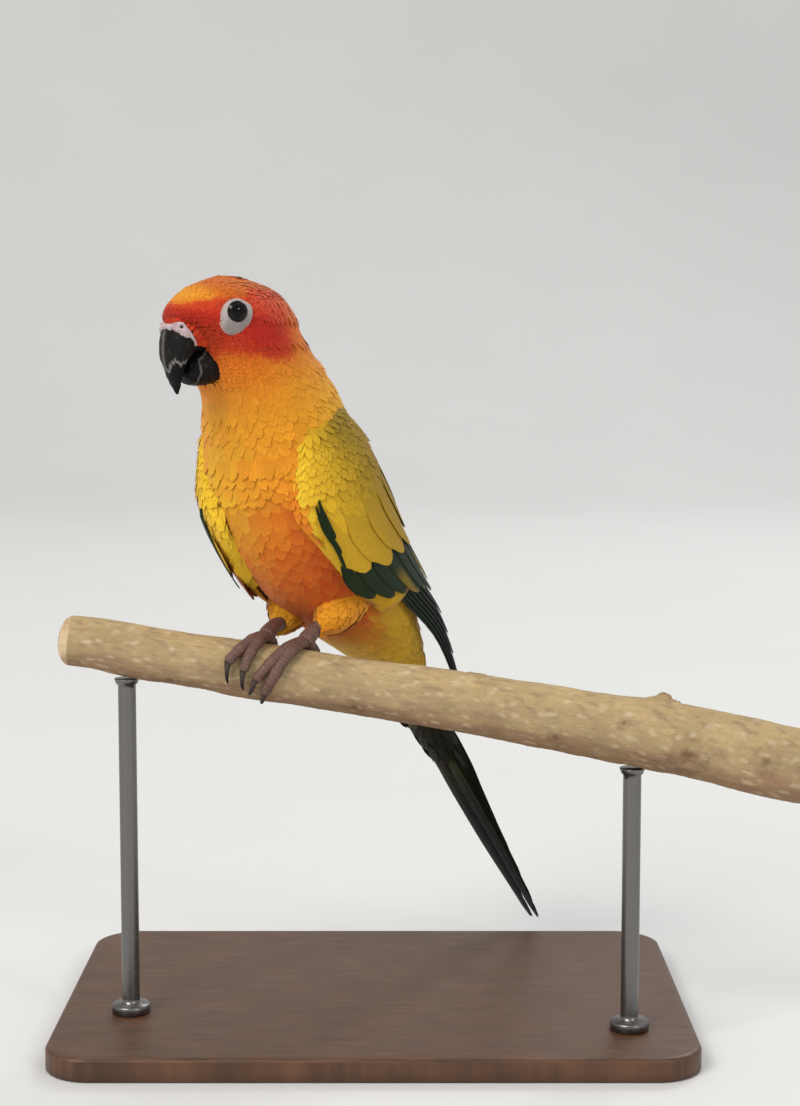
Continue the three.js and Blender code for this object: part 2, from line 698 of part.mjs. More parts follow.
// Stand: a rounded base plate and two rods up to the branch.
const plateShape = new THREE.Shape();
{
  const w = BASE.width / 2;
  const d = BASE.depth / 2;
  const c = BASE.corner;
  plateShape.moveTo(c - w, -d).lineTo(w - c, -d).absarc(w - c, c - d, c, -Math.PI / 2, 0);
  plateShape.lineTo(w, d - c).absarc(w - c, d - c, c, 0, Math.PI / 2);
  plateShape.lineTo(c - w, d).absarc(c - w, d - c, c, Math.PI / 2, Math.PI);
  plateShape.lineTo(-w, c - d).absarc(c - w, c - d, c, Math.PI, 1.5 * Math.PI);
}
function standBase() {
  const outline = plateShape.getPoints(4).slice(0, -1);
  const ring = (inset, z) => {
    const across = 1 - (2 * inset) / BASE.width;
    const deep = 1 - (2 * inset) / BASE.depth;
    return outline.map((p) => new THREE.Vector3(p.x * across, p.y * deep, z).sub(GRIP));
  };
  return loft([ring(0, 0), ring(0, BASE.thick - BASE.edge), ring(BASE.edge, BASE.thick)]);
}
add("stand_base", standBase(), 0x2c2a28, 0.6);
ROD.at.forEach((x, k) => {
  const { middle } = branchAt(x);
  const foot = new THREE.Vector3(x, middle.y, BASE.thick + GAP - GRIP.z);
  const rod = tube([foot, middle.clone()], [ROD.radius, ROD.radius], 24).subtract(BRANCH_CLEAR);
  add(`stand_rod_${k + 1}`, rod, 0x3a3836, 0.4, 0.6);
});

export default group;
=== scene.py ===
"""A life-size sun conure on a cut branch and a plain display stand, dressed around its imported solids.

Shapes are worked out in millimetres in the row frame, and made into meshes in metres.
"""
import logging
import math
from dataclasses import astuple, dataclass
from enum import Enum
from typing import Callable

import bpy
import numpy as np
from numpy.typing import NDArray
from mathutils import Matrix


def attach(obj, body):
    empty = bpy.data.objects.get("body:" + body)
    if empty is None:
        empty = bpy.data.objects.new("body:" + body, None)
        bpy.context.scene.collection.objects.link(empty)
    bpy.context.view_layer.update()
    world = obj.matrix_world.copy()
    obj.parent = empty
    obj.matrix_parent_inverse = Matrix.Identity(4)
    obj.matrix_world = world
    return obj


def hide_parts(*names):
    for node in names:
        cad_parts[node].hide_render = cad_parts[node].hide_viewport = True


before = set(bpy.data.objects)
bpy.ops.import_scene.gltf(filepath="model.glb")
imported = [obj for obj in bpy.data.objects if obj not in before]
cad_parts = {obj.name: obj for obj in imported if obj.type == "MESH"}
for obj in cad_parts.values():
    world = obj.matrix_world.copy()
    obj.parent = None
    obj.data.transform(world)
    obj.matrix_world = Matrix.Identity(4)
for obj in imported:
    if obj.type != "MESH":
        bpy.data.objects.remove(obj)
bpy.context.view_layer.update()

Array = NDArray[np.float64]
Whole = NDArray[np.int64]
Mask = NDArray[np.bool_]
Real = Array | float
Vector = tuple[float, float, float]
Field = Callable[[Array, Array], Array]
Tinting = Callable[[Array, Array, Array], Array]
Inputs = dict[str, object]
Material = bpy.types.Material
Tree = bpy.types.NodeTree
Node = bpy.types.Node
Socket = bpy.types.NodeSocket

LOG = logging.getLogger("sun_conure")
MM = 0.001
TAU = 2 * math.pi
BODY_TURN = math.radians(32)
GRIP = np.array([-33.0, -30.0, 126.0])
UP = np.array([0.0, 0.0, 1.0])
BODY = "root"
NO_POINT = -1
LENGTH_TO_WIDTH = 1.6


# Small sums on arrays


def mix(low: Real, high: Real, share: Real) -> Array:
    """low + (high - low) * share."""
    return low + (high - low) * share


def smooth(low: float, high: float, value: Real) -> Array:
    """3q^2 - 2q^3, where q is value's share of the way from low to high, held from 0 to 1."""
    q = np.clip((np.asarray(value, float) - low) / (high - low), 0, 1)
    return q * q * (3 - 2 * q)


def bell(value: Array, middle: float, spread: float) -> Array:
    """exp(-((value - middle) / spread)^2)."""
    return np.exp(-(((value - middle) / spread) ** 2))


def turns(count: int) -> Array:
    """Angles in equal steps round a full turn, from 0."""
    return np.linspace(0, TAU, count, endpoint=False)


def wrapped(angle: Real) -> Array:
    """An angle moved by whole turns to between minus half a turn and half a turn."""
    return (angle + math.pi) % TAU - math.pi


def paired(p: Real, q: Real) -> tuple[Array, Array]:
    """Both parameters as numbers in one shape."""
    return np.broadcast_arrays(np.asarray(p, float), np.asarray(q, float))


def crossed(p: Array, q: Array) -> tuple[Array, Array]:
    """Every p with every q, as two grids with a row for each p."""
    return np.meshgrid(p, q, indexing="ij")


def each(values: Array) -> Array:
    """One number for each feather, shaped to meet a grid of rows and columns."""
    return np.asarray(values, float)[:, None, None]


def distance(path: Array) -> Array:
    """The distance along a path at each of its points: the sum of its steps' lengths so far."""
    return np.concatenate([[0], np.cumsum(np.linalg.norm(np.diff(path, axis=0), axis=1))])


def bar(along: Array, angle: Array, radius: float) -> Array:
    """Places for noise on a round bar: along, radius cos(angle), radius sin(angle)."""
    return np.stack([along, np.cos(angle) * radius, np.sin(angle) * radius], -1)


def dot(a: Array, b: Array) -> Array:
    """The scalar product of vectors along the last axis, which stays with length 1."""
    return np.sum(a * b, axis=-1, keepdims=True)


def unit(vectors: Array) -> Array:
    """Each vector over its own length."""
    return vectors / np.maximum(np.linalg.norm(vectors, axis=-1, keepdims=True), 1e-12)


def spline(values: Array, t: Array) -> Array:
    """A Catmull-Rom curve through rows of values.

    Between rows b and c, at share u, it is
    b + u/2 (c - a + u (2a - 5b + 4c - d + u (3b - a - 3c + d))), with the end rows held.

    Args:
        values: n rows of k numbers.
        t: places along the rows, from 0 to n - 1, in any shape.

    Returns:
        k numbers for each place, along a new last axis.
    """
    last = len(values) - 1
    i = np.clip(np.floor(t).astype(int), 0, last - 1)
    u = (t - i)[..., None]
    a, b, c, d = (values[np.clip(i + k, 0, last)] for k in (-1, 0, 1, 2))
    return b + 0.5 * u * (c - a + u * (2 * a - 5 * b + 4 * c - d + u * (3 * b - a - 3 * c + d)))


def ripple(places: Array, wave: float, seed: int) -> Array:
    """Soft noise of about -1 to 1: the scaled mean of sines of nearly one wavelength, in random ways.

    Args:
        places: where, with any number of coordinates.
        wave: the wavelength.
        seed: of the random draw.

    Returns:
        A number for each place.
    """
    sines, gain = 12, 2.2
    rng = np.random.default_rng(seed)
    ways = unit(rng.normal(size=(sines, places.shape[-1]))).T * (TAU / wave) * rng.uniform(0.6, 1.7, sines)
    return np.sin(places @ ways + rng.uniform(0, TAU, sines)).mean(-1) * gain


def paint(red: int, green: int, blue: int) -> Array:
    """Linear red, green and blue from shown values of 0 to 255: ((c + 0.055) / 1.055)^2.4."""
    shown = np.array([red, green, blue]) / 255
    return np.where(shown < 0.04045, shown / 12.92, ((shown + 0.055) / 1.055) ** 2.4)


def blend(base: "Array | Hue", *layers: "Array | Hue") -> Array:
    """A colour with others laid over it: base + (over - base) share, share held from 0 to 1.

    Args:
        base: the colour, one for all or one for each place, or a Hue.
        layers: by turns, a colour or Hue to lay over it and its share at each place.

    Returns:
        A colour for each place.
    """
    base = getattr(base, "rgb", base)
    for over, share in zip(layers[::2], layers[1::2]):
        base = base + (getattr(over, "rgb", over) - base) * np.clip(share, 0, 1)[..., None]
    return base


# The bird's axes, the same as in the solids


@dataclass(frozen=True)
class Ring:
    """A section across the spine: its middle, its lean back and turn in degrees, and its half sizes."""

    back: float
    up: float
    lean: float
    half: float
    front: float
    rear: float
    turn: float = 0.0
    side: float = 0.0


BODY_RINGS = (
    Ring(75, -11, 46, 9.5, 6.5, 6, -7, 2.8),
    Ring(65, 0, 46, 14.5, 9, 9.5, -5, 2.6),
    Ring(52, 13, 45, 20, 15, 14.5, -3, 1.4),
    Ring(38, 29, 43, 24, 22.5, 19),
    Ring(25, 44, 40, 26.5, 27, 22),
    Ring(13, 58, 36, 27.5, 27.5, 24.5),
    Ring(3, 72, 32, 27, 24.5, 26.5, 2),
    Ring(-5, 84, 27, 23.5, 18.5, 27.5, 6),
    Ring(-12, 94, 20, 19.5, 14.5, 27, 11),
    Ring(-18, 102, 12, 18, 13.5, 27, 16, -1),
    Ring(-22.5, 110, 6, 18, 13.5, 27, 18, -2),
    Ring(-24, 118.5, 3, 17, 20, 25, 18, -2.5),
    Ring(-23.5, 125.8, 0, 12.6, 14, 18.5, 18, -2.5),
    Ring(-22.5, 130, 0, 4, 5, 6.5, 18, -2.5),
    Ring(-22.4, 130.6, 0, 0.2, 0.2, 0.2, 18, -2.5),
)
WING_RINGS = (
    Ring(-5, 84, 28, 26, 22, 28, 5),
    Ring(5.5, 67, 33, 31.5, 31, 29.5, 1),
    Ring(17.5, 51, 37, 33, 32, 28),
    Ring(30.5, 36, 41, 32.5, 30, 26),
    Ring(44.5, 21.5, 44, 31, 26, 26, 0, 0.5),
    Ring(58, 7, 45, 30, 21, 24, -3, 2),
    Ring(71.5, -8, 46, 27, 18, 21.5, -5, 3),
    Ring(84, -23.5, 43, 23, 16, 19, -6, 4),
    Ring(96, -39.5, 40, 19.5, 15, 18, -7, 5),
)


def rows_of(rings: tuple[Ring, ...]) -> Array:
    """The rings' numbers, a row for each."""
    return np.array([astuple(ring) for ring in rings], float)


BODY_ROWS = rows_of(BODY_RINGS)
WING_ROWS = rows_of(WING_RINGS)


def from_bird(left: Array, back: Array, up: Array) -> Array:
    """Points of the row frame from the bird's left, back and up, turned by BODY_TURN about the grip.

    Args:
        left: millimetres to its left.
        back: millimetres back.
        up: millimetres up.

    Returns:
        The points.
    """
    left, back, up = np.broadcast_arrays(left, back, up)
    x = left * math.cos(BODY_TURN) + back * math.sin(BODY_TURN)
    y = back * math.cos(BODY_TURN) - left * math.sin(BODY_TURN)
    return np.stack([x, y, up], -1) + GRIP


HEAD_TURN = math.radians(18)
HEAD_MIDDLE = (-2.2, -23.5, 113.0)


def from_head(forward: Array, left: Array, up: Array) -> Array:
    """Points of the row frame from the head's forward, left and up."""
    side, back, high = HEAD_MIDDLE
    c, s = math.cos(HEAD_TURN), math.sin(HEAD_TURN)
    return from_bird(side + left * c - forward * s, back - forward * c - left * s, high + up)


def to_head(points: Array) -> tuple[Array, Array, Array]:
    """The head's forward, left and up of points, the way back from from_head.

    Args:
        points: points of the row frame.

    Returns:
        Three arrays of millimetres.
    """
    middle = from_head(0.0, 0.0, 0.0)
    axes = np.stack([from_head(*axis) - middle for axis in np.eye(3)])
    return tuple(np.moveaxis((points - middle) @ axes.T, -1, 0))


# Meshes in the making


@dataclass
class Sheet:
    """A mesh in the making: its points, its faces, and each point's colour, places and pull on its normal."""

    points: Array
    faces: Whole
    tint: Array
    vane: Array
    patch: Array
    pull: Array | None = None

    def outward(self) -> "Sheet":
        """The same closed mesh with its faces turned out, by the sign of its volume."""
        a, b, c = (self.points[self.faces[:, k]] for k in range(3))
        d = self.points[np.where(self.faces[:, 3] < 0, self.faces[:, 0], self.faces[:, 3])]
        volume = np.sum(np.cross(a, b) * c) + np.sum(np.cross(a, c) * d)
        if volume < 0:
            square = self.faces[:, 3] >= 0
            turned = self.faces[:, [0, 2, 1, 3]].copy()
            turned[square] = self.faces[square][:, ::-1]
            self.faces = turned
        return self


def joined(sheets: list[Sheet]) -> Sheet:
    """One sheet from several, with each one's faces counted on from the last."""
    faces, start = [], 0
    for sheet in sheets:
        faces.append(np.where(sheet.faces < 0, NO_POINT, sheet.faces + start))
        start += len(sheet.points)
        if sheet.pull is None:
            sheet.pull = np.zeros_like(sheet.points)
    pick = lambda name: np.concatenate([getattr(sheet, name) for sheet in sheets])
    rest = (pick(name) for name in ("tint", "vane", "patch", "pull"))
    return Sheet(pick("points"), np.concatenate(faces), *rest)


def grid_faces(rows: int, cols: int, wrap: bool = False) -> Whole:
    """Four-sided faces of a grid of points, joined round its columns where wrap is set."""
    i, j = np.mgrid[0 : rows - 1, 0 : cols - (not wrap)]
    a, b = i * cols + j, i * cols + (j + 1) % cols
    return np.stack([a, a + cols, b + cols, b], -1).reshape(-1, 4)


def tube_sheet(grid: Array, tint: Array, vane: Array | None = None) -> Sheet:
    """A closed tube through rings of points, with a fan to the middle of each end.

    Args:
        grid: points, ring by ring: rows, places round, 3.
        tint: their colours, in a shape that broadcasts to the grid's.
        vane: places for patterns, rows by places round by 2, or None for rings and turns.

    Returns:
        The sheet, with its faces out.
    """
    rows, cols = grid.shape[:2]
    i, j = np.mgrid[0:rows, 0:cols]
    patch = np.stack([(j + 0.5) / (cols + 1), (i + 0.5) / (rows + 1)], -1)
    vane = patch if vane is None else vane
    tint = np.broadcast_to(tint, grid.shape)
    capped = lambda x: np.concatenate([x.reshape(-1, x.shape[-1]), x[[0, -1]].mean(1)])
    fans = []
    for end, middle in ((0, rows * cols), ((rows - 1) * cols, rows * cols + 1)):
        k = np.arange(cols)
        fan = np.stack([end + k, end + (k + 1) % cols, np.full(cols, middle), np.full(cols, NO_POINT)], -1)
        fans.append(fan if end else fan[:, [1, 0, 2, 3]])
    faces = np.concatenate([grid_faces(rows, cols, True)[:, ::-1], *fans])
    return Sheet(capped(grid), faces, capped(tint), capped(vane), capped(patch)).outward()


def plate_sheets(
    top: Array, bottom: Array, tint: Array, vane: Array, patch: Array, pull: Array | None = None
) -> Sheet:
    """Many closed plates, each between two grids of points.

    Args:
        top: points of the upper faces: plates, rows, columns, 3.
        bottom: those of the lower faces.
        tint: colours for both, in a shape that broadcasts to theirs.
        vane: places for patterns, with 2 numbers.
        patch: places on the bake's map, with 2 numbers.
        pull: how the upper faces' normals are drawn, or None.

    Returns:
        The plates as one sheet, with its faces out.
    """
    count, rows, cols = top.shape[:3]
    grid = grid_faces(rows, cols)
    below = rows * cols
    i, j = np.arange(rows), np.arange(cols)
    rim = np.concatenate([j[:-1], i[:-1] * cols + cols - 1, (rows - 1) * cols + j[:0:-1], i[:0:-1] * cols])
    ahead = np.roll(rim, -1)
    wall = np.stack([rim, ahead, ahead + below, rim + below], -1)
    one = np.concatenate([grid, grid[:, ::-1] + below, wall])
    faces = (one[None] + (np.arange(count) * 2 * below)[:, None, None]).reshape(-1, 4)
    both = lambda x: np.stack([x, x], 1).reshape(-1, x.shape[-1])
    tint = np.broadcast_to(tint, top.shape)
    points = np.stack([top, bottom], 1).reshape(-1, 3)
    pulls = None if pull is None else np.stack([pull, 0 * pull], 1).reshape(-1, 3)
    return Sheet(points, faces, both(tint), both(vane), both(patch), pulls).outward()


def added(name: str, data: bpy.types.ID) -> bpy.types.Object:
    """A new object with its data, linked into the scene."""
    thing = bpy.data.objects.new(name, data)
    bpy.context.scene.collection.objects.link(thing)
    return thing


def make_piece(
    name: str, sheet: Sheet, material: Material, slot: str, nodes: tuple[str, ...] = ()
) -> bpy.types.Object:
    """A piece of the model from a sheet, in metres, riding on the bird's one body.

    A normal is the mesh's own, times 1 less the pull's length, plus the pull.

    Args:
        name: the piece's name.
        sheet: its mesh.
        material: its finish.
        slot: the record's material slot; not used.
        nodes: CAD nodes that it stands for.

    Returns:
        The object, at the origin.
    """
    mesh = bpy.data.meshes.new(name)
    kept = sheet.faces >= 0
    loops = sheet.faces[kept]
    totals = kept.sum(1)
    mesh.vertices.add(len(sheet.points))
    mesh.vertices.foreach_set("co", (sheet.points * MM).astype(np.float32).ravel())
    mesh.loops.add(len(loops))
    mesh.loops.foreach_set("vertex_index", loops.astype(np.int32))
    mesh.polygons.add(len(totals))
    mesh.polygons.foreach_set("loop_start", (np.cumsum(totals) - totals).astype(np.int32))
    mesh.polygons.foreach_set("loop_total", totals.astype(np.int32))
    mesh.polygons.foreach_set("use_smooth", np.ones(len(totals), bool))
    mesh.update(calc_edges=True)
    if sheet.pull is not None and np.any(sheet.pull):
        own = np.empty(sheet.points.size, np.float32)
        mesh.vertices.foreach_get("normal", own)
        share = np.linalg.norm(sheet.pull, axis=-1, keepdims=True)
        mesh.normals_split_custom_set_from_vertices(unit(own.reshape(-1, 3) * (1 - share) + sheet.pull))
    tint = mesh.attributes.new("Pigment", "FLOAT_COLOR", "POINT")
    tint.data.foreach_set("color", np.c_[sheet.tint, np.ones(len(sheet.tint))].astype(np.float32).ravel())
    for layer, places in (("OFBake", sheet.patch), ("Vane", sheet.vane)):
        mesh.uv_layers.new(name=layer).data.foreach_set("uv", places[loops].astype(np.float32).ravel())
    mesh.materials.append(material)
    piece = added(name, mesh)
    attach(piece, BODY)
    if nodes:
        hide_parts(*nodes)
    LOG.info("%s: %d faces", name, len(totals))
    return piece


# Surfaces that feathers are set on


class Surface:
    """A surface of two parameters, with a height over it."""

    def point(self, p: Array, q: Array, out: Real = 0.0) -> Array:
        """Points of the row frame at parameters p and q, out millimetres over the surface.

        Args:
            p: first parameters.
            q: second parameters.
            out: the height over the surface.

        Returns:
            The points.
        """
        raise NotImplementedError

    def slopes(self, p: Array, q: Array, out: Real = 0.0) -> tuple[Array, Array, Array]:
        """How a point moves with p and with q, by central differences, and the normal.

        The normal is the unit cross product of both, turned to the side that out leads to.

        Args:
            p: first parameters.
            q: second parameters.
            out: the height over the surface.

        Returns:
            The steps with p, the steps with q and the unit normals.
        """
        step = 0.01
        by_p = (self.point(p + step, q, out) - self.point(p - step, q, out)) / (2 * step)
        by_q = (self.point(p, q + step, out) - self.point(p, q - step, out)) / (2 * step)
        normal = unit(np.cross(by_p, by_q))
        lifted = self.point(p, q, 1.0) - self.point(p, q, 0.0)
        return by_p, by_q, normal * np.sign(dot(normal, lifted))


@dataclass(frozen=True)
class Loft(Surface):
    """A loft of rings, such as the body or the wings' outer surface: p along the rings, q round them."""

    rings: tuple[Ring, ...]

    def point(self, p: Array, q: Array, out: Real = 0.0) -> Array:
        """Points of the loft.

        Each ring is two half ellipses, (half sin q) to the left and (front or rear) cos q ahead, laid
        back by its lean and turned about the upright. Angle 0 is the front, a quarter turn the left.
        """
        t, angle = paired(p, q)
        back, up, lean, half, front, rear, turn, side = np.moveaxis(spline(rows_of(self.rings), t), -1, 0)
        lean, turn = np.radians(lean), np.radians(turn)
        forward = np.cos(angle) * (np.where(np.cos(angle) > 0, front, rear) + out)
        left = np.sin(angle) * (half + out)
        level = -forward * np.cos(lean)
        return from_bird(
            side + left * np.cos(turn) + level * np.sin(turn),
            back + level * np.cos(turn) - left * np.sin(turn),
            up - forward * np.sin(lean),
        )


BODY_LOFT = Loft(BODY_RINGS)
WING_LOFT = Loft(WING_RINGS)


@dataclass
class Seats:
    """Places for feathers: their roots and axes, and how the surface bends along, across and in a twist."""

    at: Array
    along: Array
    across: Array
    normal: Array
    bend: Array
    p: Array
    q: Array

    def __len__(self) -> int:
        """How many there are."""
        return len(self.at)

    def kept(self, mask: Mask) -> "Seats":
        """Only the places where mask is true."""
        return Seats(*(values[mask] for values in vars(self).values()))


BEND_RANGE = (-0.04, 0.22)


def seats_on(
    surface: Surface, p: Array, q: Array, way: Callable[[Array], Array], stray: float, seed: int
) -> Seats:
    """Places for feathers on a surface, each along a direction laid down on it.

    The bend along a direction is the normal's turn per millimetre, (n(+1 mm) - n(-1 mm)) / 2, along
    it, held within BEND_RANGE so that a feather on a sharp edge stays nearly flat.

    Args:
        surface: what they stand on.
        p: first parameters.
        q: second parameters.
        way: gives the lie of the coat from the roots' points.
        stray: how far a feather turns off its way, in radians.
        seed: of the random draw.

    Returns:
        The places.
    """
    by_p, by_q, normal = surface.slopes(p, q)
    at = surface.point(p, q)
    along = way(at)
    along = unit(along - dot(along, normal) * normal)
    across = np.cross(normal, along)
    turn = np.random.default_rng(seed).normal(0, stray, (len(p), 1))
    along, across = along * np.cos(turn) + across * np.sin(turn), across * np.cos(turn) - along * np.sin(turn)
    pp, pq, qq = (dot(a, b)[:, 0] for a, b in ((by_p, by_p), (by_p, by_q), (by_q, by_q)))
    area = np.maximum(pp * qq - pq * pq, 1e-9)
    tilts = []
    for axis in (along, across):
        a, b = dot(by_p, axis)[:, 0], dot(by_q, axis)[:, 0]
        dp, dq = (a * qq - b * pq) / area, (b * pp - a * pq) / area
        tilts.append((surface.slopes(p + dp, q + dq)[2] - surface.slopes(p - dp, q - dq)[2]) / 2)
    bend = np.concatenate([dot(tilts[0], along), dot(tilts[1], across), dot(tilts[0], across)], -1)
    return Seats(at, along, across, normal, np.clip(bend, *BEND_RANGE), p, q)


def scattered(
    surface: Surface, rows: Array, ends: tuple[float, float], area: Field | float, seed: int
) -> tuple[Array, Array]:
    """Parameters for feathers in rows, spaced so that each has its own area.

    Along a row the feathers' count grows by width times row pitch over area, and they stand at equal
    steps of that sum. Each row starts a golden share further on, and each feather strays a little.
    Its stray is a normal draw, in shares of the space between feathers and between rows.

    Args:
        surface: what they stand on.
        rows: first parameters of the rows.
        ends: the second parameter's range.
        area: square millimetres for a feather, a number or a function of p and q.
        seed: of the random draw.

    Returns:
        First and second parameters.
    """
    golden, stray = 0.618, 0.12
    rng = np.random.default_rng(seed)
    fine = np.linspace(*ends, 181)
    ps, qs = [], []
    for k, row in enumerate(rows):
        step = rows[min(k + 1, len(rows) - 1)] - rows[max(k - 1, 0)]
        level = np.full_like(fine, row)
        by_p, by_q, _ = surface.slopes(level, fine)
        pitch = np.linalg.norm(np.cross(by_p, by_q), axis=-1) * abs(step) / 2
        share = pitch / (area(level, fine) if callable(area) else area)
        sums = np.concatenate([[0], np.cumsum((share[1:] + share[:-1]) / 2 * np.diff(fine))])
        count = max(1, round(sums[-1]))
        places = (np.arange(count) + (k * golden) % 1 + rng.normal(0, stray, count)) % count
        qs.append(np.interp(places, sums * count / sums[-1], fine))
        ps.append(row + rng.normal(0, stray, count) * step / 2)
    return np.concatenate(ps), np.concatenate(qs)


# Feathers


@dataclass(frozen=True)
class Plume:
    """A small feather: a tongue with a round, frayed end, as one thin sheet."""

    rows: int = 7
    cols: int = 7
    round: float = 0.4
    waist: float = 0.5
    fray: float = 0.035
    camber: float = 0.1
    soft: float = 0.7

    def lay(
        self, seats: Seats, length: Real, width: Real, rise: tuple[float, float],
        tint: Array, tip: Array, patch: Array, seed: int,
    ) -> Sheet:
        """Feathers on their seats.

        A point at shares u along and v across lies length u (1 - round |v|^2.3 u) along and
        width v / 2 across, and its height goes from the first rise to the second, less the camber
        and less half the surface's bend times the distances squared.

        Args:
            seats: where they stand.
            length: their lengths, or one for all.
            width: their widths, or one for all.
            rise: heights of root and tip over the surface.
            tint: the roots' colours.
            tip: the tips' colours.
            patch: the roots' places on the bake's map.
            seed: of the random draw.

        Returns:
            The sheet.
        """
        rng = np.random.default_rng(seed)
        count = len(seats)
        length, width = (each(np.broadcast_to(size, count)) for size in (length, width))
        u = np.linspace(0, 1, self.rows)[None, :, None]
        v = np.linspace(-1, 1, self.cols)[None, None, :]
        frays = rng.normal(0, self.fray, (count, 1, self.cols)) * u**3
        x = length * u * (1 - self.round * np.abs(v) ** 2.3 * u + frays)
        grown = (self.waist + (1 - self.waist) * smooth(0, 0.55, u)) * (1 - 0.1 * u**3)
        y = width / 2 * v * grown
        along, across, twist = (seats.bend[:, k, None, None] for k in range(3))
        drop = (along * x**2 + 2 * twist * x * y + across * y**2) / 2
        lift = rng.normal(0, 0.12, (count, 1, 1)) * (rise[1] - rise[0]) * u
        height = mix(*rise, u**0.8) + lift - self.camber * width * v**2 * u - drop
        pick = lambda axis: axis[:, None, None, :]
        points = (
            pick(seats.at)
            + pick(seats.along) * x[..., None]
            + pick(seats.across) * y[..., None]
            + pick(seats.normal) * height[..., None]
        )
        shade = np.broadcast_to(u**1.5, x.shape)[..., None]
        colour = mix(pick(tint), pick(tip), shade)
        place = pick(patch) + np.stack([y / width, x / length - 0.5], -1) * 0.003
        grid = grid_faces(self.rows, self.cols)
        faces = (grid[None] + (np.arange(count) * self.rows * self.cols)[:, None, None]).reshape(-1, 4)
        flat = lambda z: z.reshape(-1, z.shape[-1])
        pull = flat(pick(seats.normal) * self.soft + 0 * points)
        return Sheet(flat(points), faces, flat(colour), flat(np.stack([y, x], -1)), flat(place), pull)


@dataclass(frozen=True)
class Quill:
    """A flight or tail feather: a closed plate with a shaft, a round end and frayed edges."""

    rows: int = 17
    cols: int = 9
    thick: float = 0.34
    shaft: float = 0.16
    round: float = 0.16
    fray: float = 0.006

    def shares(self, count: int, width: Array, length: Array, seed: int) -> tuple[Array, Array, Array]:
        """The shares along and across of a feather's grid, and its edge's thinness from 0 to 1.

        The end is round: the share along is u (1 - end |v|^2.2 u^6), where end is half the width
        over the length. The width grows to 0.45 of the way and narrows a little to the end.

        Args:
            count: how many feathers.
            width: their widths.
            length: their lengths.
            seed: of the random draw.

        Returns:
            Shares along, shares of the half width, and v squared.
        """
        rng = np.random.default_rng(seed)
        u = (np.linspace(0, 1, self.rows) ** 0.8)[None, :, None]
        v = np.linspace(-1, 1, self.cols)[None, None, :]
        frays = rng.normal(0, self.fray, (count, 1, self.cols)) * u**8
        end = (self.round * 4 * width / length)[:, None, None]
        along = u * (1 - end * np.abs(v) ** 2.2 * u**6 + frays)
        across = v * (0.35 + 0.65 * smooth(0, 0.45, u)) * (1 - 0.22 * smooth(0.55, 1, u))
        return along, np.broadcast_to(across, along.shape), np.broadcast_to(v**2, along.shape)

    def ridge(self, along: Array) -> Array:
        """The shaft's height over the blade: on the middle column only, down to nothing at the end."""
        middle = np.abs(np.linspace(-1, 1, self.cols)) < 0.01
        return self.shaft * middle * (1 - along)

    def depth(self, thin: Array) -> Array:
        """The blade's thickness, less towards its edges: thick (1 - 0.6 thin)."""
        return self.thick * (1 - 0.6 * thin)


def atlas(count: int, along: Array, across: Array) -> Array:
    """Places on the bake's map in a row of upright cells, one for each feather."""
    cell = np.arange(count)[:, None, None]
    return np.stack([(cell + 0.5 + across * 0.42) / count, 0.02 + 0.96 * along], -1)


# Colours of the plumage


class Hue(Enum):
    """The plumage's pigments, as shown values."""

    YELLOW = (230, 180, 38)
    LEMON = (238, 194, 46)
    GOLD = (206, 158, 34)
    OLIVE_GOLD = (140, 112, 20)
    AMBER = (240, 152, 34)
    ORANGE = (226, 112, 24)
    FLAME = (210, 72, 24)
    RED = (190, 38, 24)
    GREEN = (18, 38, 6)
    OLIVE = (74, 78, 22)
    NIGHT = (11, 14, 12)
    BROWN = (132, 82, 34)

    @property
    def rgb(self) -> Array:
        """The colour as linear red, green and blue."""
        return paint(*self.value)


Stops = tuple[tuple[float, Hue], ...]


def along_stops(t: Array, stops: Stops) -> Array:
    """A colour between the nearest two of several stops."""
    at = np.array([stop[0] for stop in stops])
    hues = np.array([stop[1].rgb for stop in stops])
    return np.stack([np.interp(t, at, hues[:, k]) for k in range(3)], -1)


